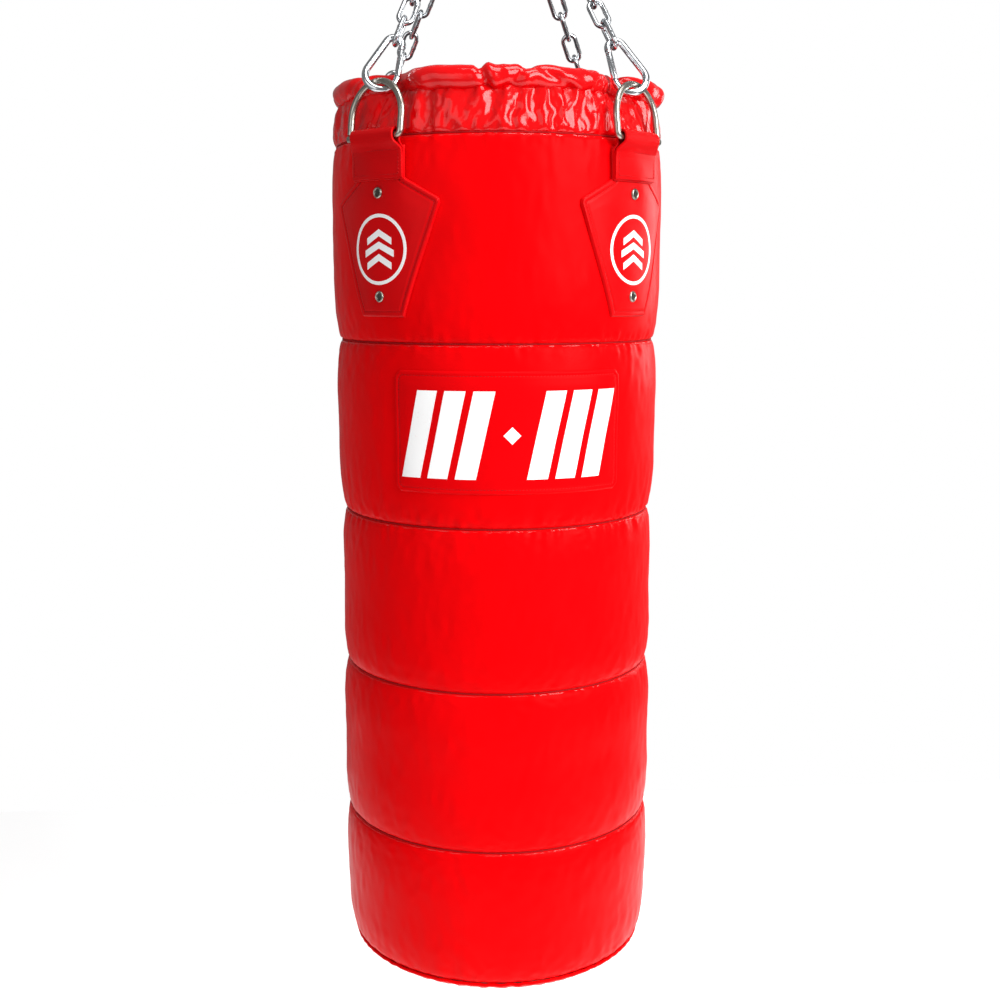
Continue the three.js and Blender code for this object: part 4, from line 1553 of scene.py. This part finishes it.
@dataclass
class SewnPiece:
    """Leather piece sewn flat onto a cover band.

    Attributes:
        thickness: of the leather, in millimetres.
        stitch_inset: from its edge to its stitches, in millimetres.
        pitch: from stitch to stitch, in millimetres.
        low: height of its lower edge above the middle seam, in millimetres.
        tall: its height, in millimetres.
        edge_round: radius of its rounded edge, in millimetres.
        groove: depth and half width of the line pressed in by its stitches, in millimetres.
        pad: how far its middle stands up, and the two depths inside the edge between which it
            rises, in millimetres.
        wave: height of its waves in millimetres, and the waves.
        lift: of its edge above the band, in millimetres.
        seats: height of each rivet that presses it in, in millimetres.
    """

    outline: Outline
    arc_radius: float
    skin: SkinLine
    thickness: float
    stitch_inset: float
    pitch: float
    low: float
    tall: float
    edge_round: float
    groove: tuple[float, float]
    pad: tuple[float, float, float]
    wave: tuple[float, Ripples]
    lift: float
    seats: tuple[float, ...] = ()

    def surface(self, arc: np.ndarray, height: np.ndarray, proud: float = 0.0) -> np.ndarray:
        """Returns the outer face at arc lengths and heights, raised by proud millimetres."""
        depth = self.outline.depth(arc, height)
        slope = 1 - np.clip(depth, 0, self.edge_round) / self.edge_round
        edge = np.sqrt(np.clip(1 - slope**2, 0, 1))
        deep, wide = self.groove
        groove = deep * np.exp(-(((depth - self.stitch_inset) / wide) ** 2))
        azimuth, z = arc / self.arc_radius, row_z(height)
        for seat in self.seats:
            groove = groove + 0.9 * np.exp(-((np.hypot(arc, height - seat) / 7) ** 2))
        stand, start, full = self.pad
        pad = stand * smooth_step(depth, start, full)
        rise, waves = self.wave
        wave = rise * waves.at(azimuth, z)
        lift = self.lift + (self.thickness - 0.3) * edge - groove + pad + wave + proud
        return wrapped(azimuth, self.skin.radius(z) + lift * MM, z)

    def sheet(self, name: str, columns: int, rows: int, back: float, finish: Material) -> Object:
        """Models the leather.

        Args:
            name: the new object's name.
            columns: faces across it.
            rows: faces up it.
            back: how far its back lies behind its face, in metres.
            finish: its material.

        Returns:
            The new object.
        """

        def shape(u: np.ndarray, v: np.ndarray) -> np.ndarray:
            """Lays the grid over the piece, following its cut corners."""
            height = self.low + self.tall * v
            return self.surface((u * 2 - 1) * self.outline.half_width(height), height)

        leather = mapped_grid(name, columns, rows, shape)
        thicken(leather, back, finish)
        return leather

    def stitches(self, name: str, proud: float, finish: Material) -> Object:
        """Models the line of stitches along the edge, standing proud by some millimetres."""
        line = self.outline.inset(self.stitch_inset)
        places = stitch_places(line, self.pitch, lambda a, h: self.surface(a, h, proud))
        thread = stamped(stitch_model(), places, name)
        dress(thread, finish)
        return thread

    def print_shapes(
        self, name: str, shapes: Sequence[tuple[int, int, Shape]], finish: Material
    ) -> Object:
        """Models flat printed shapes on the leather, each with its columns, rows and outline."""
        ink = printed(name, shapes, lambda a, h: self.surface(a, h, 0.12))
        thicken(ink, 0.0002, finish, offset=-0.5)
        return ink


@dataclass
class Label:
    """Sewn label on the second band, with its printed bars.

    Attributes:
        piece: the label's leather.
        bars: arc length and width of each printed bar's foot, in millimetres.
        bar_foot: height of the bars' feet above the middle seam, in millimetres.
        bar_height: in millimetres.
        bar_slant: how far the bars' tops lean, in millimetres.
    """

    piece: SewnPiece = field(default_factory=lambda: SewnPiece(
        LABEL_OUTLINE, LABEL_ARC_R, PANEL_SKINS[1], thickness=1.8, stitch_inset=5.0, pitch=3.6,
        low=38, tall=127, edge_round=1.4, groove=(0.75, 0.9), pad=(0.5, 6, 16),
        wave=(0.22, Ripples(81, (8, 22), 25)), lift=0.35,
    ))
    bars: Stations = ((-118, 22), (-88, 22), (-58, 22), (16, 22), (46, 22), (76, 22))
    bar_foot: float = 54
    bar_height: float = 91
    bar_slant: float = 20

    def build(self, finishes: Finishes) -> None:
        """Models the label, its stitches and its print and hands them over."""
        label = self.piece.sheet("label_leather", 200, 110, 0.0006, finishes.label)
        hand_over(label, Body.BAG.value, Slot.LABEL, "label_patch")
        stitches = self.piece.stitches("label_stitches", 0.15, finishes.thread)
        hand_over(stitches, Body.BAG.value, None)
        shapes: list[tuple[int, int, Shape]] = [
            (8, 26, slanted_bar((start, self.bar_foot), width, self.bar_height, self.bar_slant))
            for start, width in self.bars
        ]
        shapes.append((12, 12, diamond((1, 99.5), 9)))
        ink = self.piece.print_shapes("label_print", shapes, finishes.print)
        hand_over(ink, Body.BAG.value, None)


# ---------- hangers ----------

RING_BAR_R = 191.0
RING_BAR_Z = 400.0


@dataclass(frozen=True)
class HangerPlace:
    """Where one of the four hangers is.

    Attributes:
        name: its name.
        azimuth: in degrees from the front.
        ring_angle: where its chain sits on the suspension ring, in degrees from the lowest point.
        gate_side: 1 or -1, the side of the carabiner's gate.
    """

    name: str
    azimuth: float
    ring_angle: float
    gate_side: int

    @property
    def turn(self) -> Matrix:
        """The turn from the front of the bag to this hanger."""
        return Matrix.Rotation(self.azimuth * DEG, 4, "Z")


HANGERS = (
    HangerPlace("front_left", -45, -28, 1),
    HangerPlace("front_right", 45, 28, -1),
    HangerPlace("back_right", 135, 11, -1),
    HangerPlace("back_left", -135, -11, 1),
)


def to_hangers(
    model: Object,
    label: str,
    body: str,
    slot: Slot | None,
    node: str = "",
) -> None:
    """Copies a model made at the front to the four hangers, and removes the model.

    Args:
        model: the finished model.
        label: start of the copies' names.
        body: the CAD body that they ride on.
        slot: the record's material slot.
        node: start of the names of the CAD nodes that they replace.
    """
    for place in HANGERS:
        piece = copy_of(model, f"{label}_{place.name}", place.turn)
        hand_over(piece, body, slot, *([f"{node}_{place.name}"] if node else []))
    drop(model)


@dataclass
class Patch:
    """Six-sided leather patch that spreads a hanger's pull, modelled at the front.

    Attributes:
        piece: the patch's leather.
        emblem: height of the printed ring's centre, in millimetres.
        ring: outer and inner radius of the printed ring, in millimetres.
        chevrons: step up from the middle one, and half width in millimetres, of each chevron.
    """

    piece: SewnPiece = field(default_factory=lambda: SewnPiece(
        PATCH_OUTLINE, PATCH_ARC_R, PANEL_SKINS[0], thickness=3.7, stitch_inset=5.5, pitch=3.4,
        low=219, tall=172.5, edge_round=1.8, groove=(1.0, 1.1), pad=(0.35, 9, 20),
        wave=(0.25, Ripples(91, (8, 24), 30)), lift=0.6, seats=(345, 240),
    ))
    emblem: float = 288.0
    ring: tuple[float, float] = (36, 32.5)
    chevrons: Stations = ((-1, 17.0), (0, 20.0), (1, 17.0))

    def build(self, finishes: Finishes) -> None:
        """Models one patch with its stitches and print, and copies them to the four hangers."""
        leather = self.piece.sheet("patch_model", 100, 150, 0.0009, finishes.patch)
        thread = self.piece.stitches("stitches_model", 0.2, finishes.thread)
        shapes: list[tuple[int, int, Shape]] = [(72, 2, ring_band((0.0, self.emblem), *self.ring))]
        for step, reach in self.chevrons:
            shapes.append((20, 4, chevron(self.emblem + step * 12.5 - 8, reach)))
        ink = self.piece.print_shapes("print_model", shapes, finishes.print)
        bag = Body.BAG.value
        to_hangers(leather, "patch", bag, Slot.PATCH, "hanger_patch")
        to_hangers(thread, "patch_stitches", bag, None)
        to_hangers(ink, "patch_print", bag, None)


@dataclass
class Strap:
    """Doubled strap that holds the D-ring's bar, modelled at the front.

    Attributes:
        half_width: in millimetres.
        thickness: in millimetres.
        route: distance from the bag's axis and height of the strap's middle line, in millimetres.
    """

    half_width: float = 30.0
    thickness: float = 2.6
    route: Stations = (
        (189.0, 357), (189.0, 372), (188.4, 384), (187.0, 392), (185.8, 398), (186.0, 402),
        (187.6, 405.2), (190.0, 407.0), (192.6, 407.0), (195.0, 405.4), (196.5, 402.4),
        (196.6, 398.6), (195.4, 394.6),
        (193.4, 390.6), (191.7, 386), (191.3, 380), (191.6, 372), (191.6, 364), (191.0, 358.5),
    )

    def build(self, finishes: Finishes) -> None:
        """Models one strap with its stitches and copies it to the four hangers."""
        strap = mapped_grid("strap_model", 32, 96, self.shape)
        modify(strap, "SOLIDIFY", thickness=self.thickness * MM, offset=0)
        modify(
            strap, "BEVEL", width=0.5 * MM, segments=2, limit_method="ANGLE", angle_limit=60 * DEG
        )
        finish_mesh(strap, smooth=55)
        dress(strap, finishes.strap)

        half = self.half_width + 0.4
        line = [(-half, 362.0), (half, 362.0), (half, 386.0), (-half, 386.0)]
        places = stitch_places(line, 3.4, self.front_face)
        stitches = stamped(stitch_model(), places, "strap_stitches_model")
        dress(stitches, finishes.thread)
        to_hangers(strap, "strap", Body.BAG.value, Slot.STRAP, "hanger_strap")
        to_hangers(stitches, "strap_stitches", Body.BAG.value, None)

    def shape(self, u: np.ndarray, v: np.ndarray) -> np.ndarray:
        """Lays the grid along the strap's route: up behind, over the bar and down in front."""
        route = np.array(self.route)
        steps = np.r_[0, np.cumsum(np.hypot(*np.diff(route, axis=0).T))]
        along = v * steps[-1]
        reach = np.interp(along, steps, route[:, 0])
        height = np.interp(along, steps, route[:, 1])
        wide = smooth_step(398 - height, 2, 12)
        x = (u * 2 - 1) * (self.half_width + 4.2 * wide)
        front = smooth_step(v, 0.55, 0.75)
        wave = 0.35 * np.sin(x / 9.0 + height / 11) * front * smooth_step(400 - height, 4, 14)
        return self.laid(x, reach + wave, height)

    def laid(self, arc: np.ndarray, reach: np.ndarray, height: np.ndarray) -> np.ndarray:
        """Lays places on the strap: straight along the ring's bar, curved with the bag below."""
        curved = wrapped(arc / PATCH_ARC_R, reach * MM, row_z(height))
        flat = np.stack([arc * MM, -reach * MM, row_z(height)], 1)
        share = smooth_step(398 - height, 0, 12)[:, None]
        return curved * share + flat * (1 - share)

    def front_face(self, arc: np.ndarray, height: np.ndarray) -> np.ndarray:
        """Returns the front of the strap at places across it and heights, in millimetres."""
        route = np.array(self.route[-8:])[::-1]
        reach = np.interp(height, route[:, 1], route[:, 0]) + self.thickness / 2
        return self.laid(arc, reach, height)


@dataclass
class Rivets:
    """Two hollow rivets through each patch.

    Attributes:
        heights: of the two rivets above the middle seam, in millimetres.
        seat: of their flanges above the band, in millimetres.
        hollow: radius of the hollow in the head that is painted darker as a painted dark reflection, in
            millimetres.
    """

    heights: tuple[tuple[str, float], ...] = (("upper", 345), ("lower", 240))
    seat: float = 3.9
    hollow: float = 3.7

    def build(self, finishes: Finishes) -> None:
        """Models one rivet and copies it to its eight places."""
        rivet = turned(
            "rivet_model",
            (
                (2.2, -6.0), (2.2, -0.8), (5.0, -0.8), (5.8, -0.3), (5.9, 0.6), (5.5, 1.35),
                (4.9, 1.7), (4.3, 1.55), (3.8, 1.0), (3.4, 0.2), (1.6, 0.0),
            ),
            28,
        )
        dress(rivet, finishes.nickel)
        # the dimple's faces take the darker nickel: a painted dark reflection, not a darker metal
        rivet.data.materials.append(finishes.painted_reflection_nickel)
        for face in rivet.data.polygons:
            middle = face.center
            if math.hypot(middle.x, middle.y) < self.hollow * MM and middle.z > -0.5 * MM:
                face.material_index = 1
        for name, height in self.heights:
            z = row_z(height)
            seat = float(PANEL_SKINS[0].radius(np.array([z]))[0]) + self.seat * MM
            outward = basis(
                Vector((1, 0, 0)), Vector((0, 0, 1)), Vector((0, -1, 0)), Vector((0, -seat, z))
            )
            front = copy_of(rivet, "rivet_front", outward)
            to_hangers(front, f"rivet_head_{name}", Body.BAG.value, Slot.NICKEL, f"rivet_{name}")
        drop(rivet)


@dataclass
class DRing:
    """Bent D-ring with its open joint at a lower corner, modelled at the front.

    Attributes:
        wire: wire radius in millimetres.
        half_width: to the wire's centre.
        corner: bend radius of the lower corners.
        side_top: height at which the bow starts.
        lean: how far the ring leans into the bag, in degrees.
    """

    wire: float = 3.5
    half_width: float = 35.5
    corner: float = 5.0
    side_top: float = 20.0
    lean: float = 7.0

    def build(self, finishes: Finishes) -> None:
        """Models one ring and copies it to the four hangers."""
        bender = WireBender("ring_model", self.wire, 16)
        half, corner = self.half_width, self.corner
        bender.begin((-half - 3.2, 0), Vector((1, 0, 0)))
        bender.straight(2 * half + 2.6 - corner)
        bender.bend((half - corner, corner), 90, 8)
        bender.straight(self.side_top - corner)
        bender.bend((0, self.side_top), 180, 36)
        bender.straight(self.side_top - self.wire - 0.8)
        ring = bender.end()
        dress(ring, finishes.nickel)
        lean = self.lean * DEG
        along = Vector((1, 0, 0))
        climb = Vector((0, math.sin(lean), math.cos(lean)))
        bar = Vector((0, -RING_BAR_R * MM, row_z(RING_BAR_Z)))
        stand = basis(along, climb, along.cross(climb), bar)
        for place in HANGERS:
            side = Matrix.Identity(4)
            if place.azimuth in (45, -135):
                side = Matrix.Rotation(math.pi, 4, "Y")
            piece = copy_of(ring, f"ring_{place.name}", place.turn @ stand @ side)
            hand_over(piece, Body.BAG.value, Slot.NICKEL, f"d_ring_{place.name}")
        drop(ring)


@dataclass(frozen=True)
class ChainLine:
    """Line from the top of one D-ring to the suspension ring, with its cross directions.

    Attributes:
        place: the hanger.
    """

    place: HangerPlace

    @property
    def foot(self) -> Vector:
        """Top of the D-ring's wire centre."""
        reach = RING_BAR_R - 55 * math.sin(7 * DEG)
        height = RING_BAR_Z + 55 * math.cos(7 * DEG)
        azimuth = self.place.azimuth * DEG
        spot = Vector((reach * math.sin(azimuth), -reach * math.cos(azimuth), height)) * MM
        return spot + Vector((0, 0, SEAM_C_Z))

    @property
    def head(self) -> Vector:
        """Wire centre of the suspension ring where the chain sits."""
        angle = self.place.ring_angle * DEG
        return Vector((29 * math.sin(angle), 0, -136 - 29 * math.cos(angle))) * MM

    @property
    def along(self) -> Vector:
        """Direction up the chain."""
        return (self.head - self.foot).normalized()

    def squared(self, direction: Vector) -> Vector:
        """Returns a direction made square to the chain."""
        return (direction - self.along * direction.dot(self.along)).normalized()

    @property
    def hook_across(self) -> Vector:
        """Cross direction at the carabiner."""
        return self.squared(Vector((1, 0, 0)))

    @property
    def head_across(self) -> Vector:
        """Cross direction at the suspension ring."""
        angle = self.place.ring_angle * DEG
        return self.squared(Vector((math.cos(angle), 0, math.sin(angle))))


@dataclass
class Carabiner:
    """Pear-shaped snap hook, modelled flat: X across, Y along the chain.

    Attributes:
        wire: wire radius in millimetres.
        wide: radius of the wide end.
        narrow: radius of the narrow end.
        length: between the wire centres of its two ends.
        low: y of the wide end's wire centre.
        pivot_inset: from the narrow end to the gate's pin.
    """

    wire: float = 3.7
    wide: float = 16.3
    narrow: float = 8.5
    length: float = 62.6
    low: float = -8.4
    pivot_inset: float = 5.0

    def __post_init__(self) -> None:
        """Works out the tangent points of the two bends."""
        self.wide_y = self.low + self.wide
        self.narrow_y = self.low + self.length - self.narrow
        self.taper = math.asin((self.wide - self.narrow) / (self.narrow_y - self.wide_y))
        lean = Vector((math.cos(self.taper), math.sin(self.taper)))
        self.nose = Vector((0, self.wide_y)) + lean * self.wide
        self.top = Vector((0, self.narrow_y)) + lean * self.narrow
        self.slope = (self.nose - self.top).normalized()
        self.pivot = self.top + self.slope * self.pivot_inset

    def at_pivot(self) -> Matrix:
        """Carries the pivot's own frame, X towards the nose, into the hook's."""
        turn = Matrix.Rotation(math.atan2(self.slope.y, self.slope.x), 4, "Z")
        return Matrix.Translation(Vector((self.pivot.x, self.pivot.y, 0)) * MM) @ turn

    def body(self) -> Object:
        """Models the bent body with the lug that carries the gate."""
        taper = self.taper / DEG
        bender = WireBender("hook_model", self.wire, 16)
        bender.begin(tuple(self.nose), Vector((math.sin(self.taper), -math.cos(self.taper), 0)))
        bender.bend((0, self.wide_y), -(180 + 2 * taper), 30)
        bender.straight((self.top - self.nose).length)
        bender.bend((0, self.narrow_y), -(180 - 2 * taper), 16)
        bender.straight(self.pivot_inset - 3.6)
        hook = bender.end()
        lug = turned("lug_model", ((2.6, -1.3), (2.9, -1.0), (2.9, 1.0), (2.6, 1.3)), 20)
        with editing(lug):
            points = points_of(lug)
            select_points(lug, points[:, 0] < 0)
            bpy.ops.transform.translate(value=(-4.2 * MM, 0, 0))
        lug.data.transform(self.at_pivot())
        combine(hook, lug, "UNION")
        finish_mesh(hook, smooth=40)
        return hook

    def gate(self) -> Object:
        """Models the gate: a bar forked over the lug, with a rounded tip."""
        reach = (self.nose - self.pivot).length - 0.8
        tip = ((3.4, reach - 1.0), (3.1, reach - 0.3), (2.6, reach))
        bar = turned("gate_model", ((2.8, -3.0), (3.4, -2.4), *tip), 24)
        bar.data.transform(Matrix.Rotation(math.pi / 2, 4, "Y"))
        let_go()
        bpy.ops.mesh.primitive_cube_add(
            size=1, location=(-0.2 * MM, 0, 0), scale=(8 * MM, 10 * MM, 3.3 * MM)
        )
        combine(bar, settle("slot_model"), "DIFFERENCE")
        finish_mesh(bar, smooth=35)
        bar.data.transform(self.at_pivot())
        return bar

    def pin(self) -> Object:
        """Models the rivet that the gate turns on, with domed heads."""
        pin = turned(
            "pin_model",
            (
                (0.7, -4.0), (1.5, -3.8), (1.8, -3.4), (1.1, -3.3), (1.1, 3.3), (1.8, 3.4),
                (1.5, 3.8), (0.7, 4.0),
            ),
            16,
        )
        pin.data.transform(self.at_pivot())
        return pin

    def build(self, finishes: Finishes) -> None:
        """Models one hook and copies it to the four chains."""
        models = {"body": self.body(), "gate": self.gate(), "pin": self.pin()}
        for place in HANGERS:
            line = ChainLine(place)
            across = line.hook_across
            stand = basis(across, line.along, across.cross(line.along), line.foot)
            side = Matrix.Rotation(math.pi, 4, "Y") if place.gate_side < 0 else Matrix.Identity(4)
            for name, model in models.items():
                piece = copy_of(model, f"hook_{name}_{place.name}", stand @ side)
                dress(piece, finishes.zinc)
                body = f"gate_{place.name}" if name == "gate" else Body.BAG.value
                hand_over(piece, body, Slot.ZINC, f"carabiner_{name}_{place.name}")
        for model in models.values():
            drop(model)


@dataclass
class Chains:
    """Four chains of welded links.

    Attributes:
        count: links in a chain.
        wire: wire radius in millimetres.
        width: outer width of a link.
        hook_bearing: from the D-ring to the first link's lower bearing.
        head_bearing: past the suspension ring's wire centre to the last link's upper bearing.
    """

    count: int = 11
    wire: float = 2.5
    width: float = 19.5
    hook_bearing: float = 50.2
    head_bearing: float = 4.3

    def link(self, inner: float) -> Object:
        """Models one link, long axis on Y, with its weld halfway up one side.

        Args:
            inner: inner length in millimetres.

        Returns:
            The new object.
        """
        let_go()
        segments = 24
        bend = (self.width / 2 - self.wire) / math.cos(math.pi / segments)
        bpy.ops.mesh.primitive_torus_add(
            major_radius=bend * MM, minor_radius=self.wire * MM,
            major_segments=segments, minor_segments=12, rotation=(0, 0, math.pi / segments),
        )
        link = settle("link_model")
        part_by = inner / 2 + 2 * self.wire - self.width / 2
        with editing(link):
            for side in (1, -1):
                points = points_of(link)
                select_points(link, points[:, 1] * side > 0)
                bpy.ops.transform.translate(value=(0, side * part_by * MM, 0))
                bpy.ops.object.mode_set(mode="OBJECT")
                bpy.ops.object.mode_set(mode="EDIT")
            self.weld(link, part_by)
        finish_mesh(link)
        return link

    def weld(self, link: Object, part_by: float) -> None:
        """Cuts the open side of the link into short steps and swells its middle."""
        points = points_of(link)
        select_points(link, (points[:, 0] > 0) & (np.abs(points[:, 1]) < (part_by + 2) * MM))
        bpy.ops.mesh.select_mode(type="EDGE")
        bpy.ops.mesh.subdivide(number_cuts=7)
        bpy.ops.object.mode_set(mode="OBJECT")
        points = points_of(link)
        straight = (points[:, 0] > 0) & (np.abs(points[:, 1]) < part_by * MM)
        middle = np.full(len(points), (self.width / 2 - self.wire) * MM)
        centre = np.stack([middle, points[:, 1], np.zeros(len(points))], 1)
        swell = 1 + 0.16 * np.exp(-((points[:, 1] / (1.6 * MM)) ** 2)) * straight
        set_points(link, centre + (points - centre) * swell[:, None])
        bpy.ops.object.mode_set(mode="EDIT")

    def build(self, finishes: Finishes) -> None:
        """Models the links and copies them up each chain."""
        for place in HANGERS:
            line = ChainLine(place)
            length = (line.head - line.foot).length / MM + self.head_bearing
            pitch = (length - self.hook_bearing) / self.count
            model = self.link(pitch)
            dress(model, finishes.zinc)
            for i in range(self.count):
                across = line.hook_across.lerp(line.head_across, i / (self.count - 1)).normalized()
                through = across.cross(line.along).normalized()
                centre = line.foot + line.along * (self.hook_bearing + pitch * (i + 0.5)) * MM
                flat = through if i % 2 == 0 else across
                stand = basis(flat, line.along, flat.cross(line.along), centre)
                piece = copy_of(model, f"link_{place.name}_{i + 1:02d}", stand)
                hand_over(piece, Body.BAG.value, Slot.ZINC, f"chain_{place.name}")
            drop(model)


@dataclass
class Suspension:
    """Ring, lower eye, swivel housing and upper eye above the chains.

    Attributes:
        neck: radius and height of the lower eye's stem, in millimetres, foot first.
        stem: the same for the upper eye's stem.
        barrel: the same for the housing's closed outline.
    """

    neck: Stations = ((5.0, -89.6), (5.0, -88), (5.8, -85.5), (7.2, -84), (7.2, -82.3))
    stem: Stations = (
        (9.8, -66), (10.5, -65.3), (10.5, -59.7), (9.8, -59), (6, -59), (6, -42), (6.6, -38),
        (7.4, -35), (6.8, -32.2),
    )
    barrel: Stations = (
        (13, -82), (15.4, -80.6), (16.6, -78), (17, -75.5), (17, -69.6), (16.3, -69.1),
        (16.3, -67.9), (17, -67.4), (17, -58.6), (16.3, -58.1), (16.3, -56.9), (17, -56.4),
        (17, -48), (16.3, -45.6), (14.2, -44), (7.2, -44), (6.6, -44.6), (6.6, -52), (12, -52),
        (12, -74),
    )

    def eye(self, name: str, radius: float, wire: float, stand: Matrix, stem: Stations) -> Object:
        """Models an eye on its stem.

        Args:
            name: the new object's name.
            radius: of the eye's wire centre, in millimetres.
            wire: the wire's radius, in millimetres.
            stand: carries the eye to its place.
            stem: radius and height of the turned stem, in millimetres.

        Returns:
            The new object.
        """
        eye = wire_ring(name, radius, wire, stand, bead=False)
        combine(eye, turned("stem_model", stem, 28), "UNION")
        finish_mesh(eye, smooth=40)
        return eye

    def build(self, finishes: Finishes) -> None:
        """Models the four turned and bent pieces and hands them over."""
        upright = Matrix.Rotation(math.pi / 2, 4, "X")
        sideways = Matrix.Rotation(math.pi / 2, 4, "Y")
        ring_place = Matrix.Translation((0, 0, -0.136)) @ upright
        lower_place = Matrix.Translation((0, 0, -0.1008)) @ sideways
        upper_place = Matrix.Translation((0, 0, -0.014)) @ upright
        ring = wire_ring("suspension_wire_ring", 29, 3.5, ring_place)
        lower = self.eye("lower_eye", 14, 4, lower_place, self.neck)
        housing = turned("swivel_barrel", self.barrel, 40)
        upper = self.eye("upper_eye", 19, 5, upper_place, self.stem)
        for piece, body, node in (
            (ring, Body.RING, "suspension_ring"),
            (lower, Body.SWIVEL_LOWER, "swivel_lower_eye"),
            (housing, Body.SWIVEL_LOWER, "swivel_housing"),
            (upper, Body.SWIVEL_UPPER, "swivel_upper_eye"),
        ):
            dress(piece, finishes.steel)
            hand_over(piece, body.value, Slot.STEEL, node)


# ---------- studio ----------


@dataclass
class Studio:
    """Pale floor, soft lights and the camera.

    Attributes:
        azimuth: of the camera, in degrees.
        distance: from the bag's axis, in metres.
        height: of the camera, in metres.
        tilt: how far it looks down, in degrees.
        floor_z: height of the floor, in metres.
    """

    azimuth: float = -4.7
    distance: float = 1.5045
    height: float = -0.6538
    tilt: float = 9.15
    floor_z: float = -1.87

    def build(self) -> None:
        """Sets up the camera, the floor, the lights and the surroundings."""
        self.add_camera()
        self.add_floor()
        target = Vector((0, 0, -0.85))
        self.add_light("key", (2.0, -2.1, 0.35), target, 2.0, 125)
        self.add_light("fill", (-2.0, -2.4, -0.2), target, 2.4, 20)
        self.add_light("top", (0.35, -0.7, 1.35), Vector((0, 0, -0.5)), 1.1, 26)
        self.add_light("edge", (2.3, 1.5, -0.3), target, 1.2, 12)
        self.add_world()
        bpy.context.scene.view_settings.view_transform = "Standard"

    def add_camera(self) -> None:
        """Adds the camera and makes it the scene's."""
        data = bpy.data.cameras.new("camera")
        data.lens = 46.8
        data.sensor_width = 36
        data.shift_x = 0.0033
        camera = bpy.data.objects.new("camera", data)
        turn = self.azimuth * DEG
        away = self.distance
        camera.location = (away * math.sin(turn), -away * math.cos(turn), self.height)
        camera.rotation_euler = ((90 - self.tilt) * DEG, 0, self.azimuth * DEG)
        bpy.context.scene.collection.objects.link(camera)
        bpy.context.scene.camera = camera

    def add_floor(self) -> None:
        """Adds a plain pale floor well below the hanging bag."""
        let_go()
        bpy.ops.mesh.primitive_plane_add(size=3.0, location=(0, 0, self.floor_z))
        floor = settle("floor")
        recipe = Recipe("pale floor")
        recipe.set(Roughness=0.9, Emission_Color=(1, 1, 1, 1), Emission_Strength=0.5)
        tone = recipe.ranged(recipe.noise(0.9, 2), 0.3, 0.7)
        colour = recipe.blend(tone, (0.93, 0.93, 0.93, 1), (0.97, 0.97, 0.97, 1))
        dress(floor, recipe.feed(Base_Color=colour))

    def add_light(
        self,
        name: str,
        spot: tuple[float, float, float],
        target: Vector,
        size: float,
        power: float,
    ) -> None:
        """Adds one square soft light.

        Args:
            name: its name.
            spot: where it stands.
            target: what it faces.
            size: of its side, in metres.
            power: in watts.
        """
        data = bpy.data.lights.new(name, "AREA")
        data.shape = "SQUARE"
        data.size = size
        data.energy = power
        light = bpy.data.objects.new(name, data)
        light.location = spot
        light.rotation_euler = (target - Vector(spot)).to_track_quat("-Z", "Y").to_euler()
        bpy.context.scene.collection.objects.link(light)

    def add_world(self) -> None:
        """Adds even surroundings that show white and light the bag gently."""
        world = bpy.data.worlds.new("surroundings")
        bpy.context.scene.world = world
        world.use_nodes = True
        tree = world.node_tree
        tree.nodes.clear()
        output = tree.nodes.new("ShaderNodeOutputWorld")
        mix = tree.nodes.new("ShaderNodeMixShader")
        rays = tree.nodes.new("ShaderNodeLightPath")
        for number, strength in ((1, 0.22), (2, 1.0)):
            shade = tree.nodes.new("ShaderNodeBackground")
            shade.inputs["Color"].default_value = (1, 1, 1, 1)
            shade.inputs["Strength"].default_value = strength
            tree.links.new(shade.outputs["Background"], mix.inputs[number])
        tree.links.new(rays.outputs["Is Camera Ray"], mix.inputs[0])
        tree.links.new(mix.outputs["Shader"], output.inputs["Surface"])


def main() -> None:
    """Builds the studio and every piece of the bag in order."""
    logging.basicConfig(level=logging.INFO, format="%(message)s")
    Studio().build()
    finishes = Finishes()
    finishes.dress_nodes()
    puckers = ((0.9, 0.9), (0.8, 1.2), (1.0, 0.35), (0.35, 0.35), (0.35, 0.5))
    for number, (skin, (top, foot)) in enumerate(zip(PANEL_SKINS, puckers), start=1):
        CoverPanel(number, skin, top, foot).build(finishes.leather)
    Seams().build(finishes.seam, finishes.collar)
    Collar().build(finishes.collar)
    RimRoll().build(finishes.collar)
    Base().build(finishes.leather, finishes.seam)
    TopLid().build(finishes)
    Label().build(finishes)
    Patch().build(finishes)
    Strap().build(finishes)
    Rivets().build(finishes)
    DRing().build(finishes)
    Carabiner().build(finishes)
    Chains().build(finishes)
    Suspension().build(finishes)


if __name__ == "__main__":
    main()
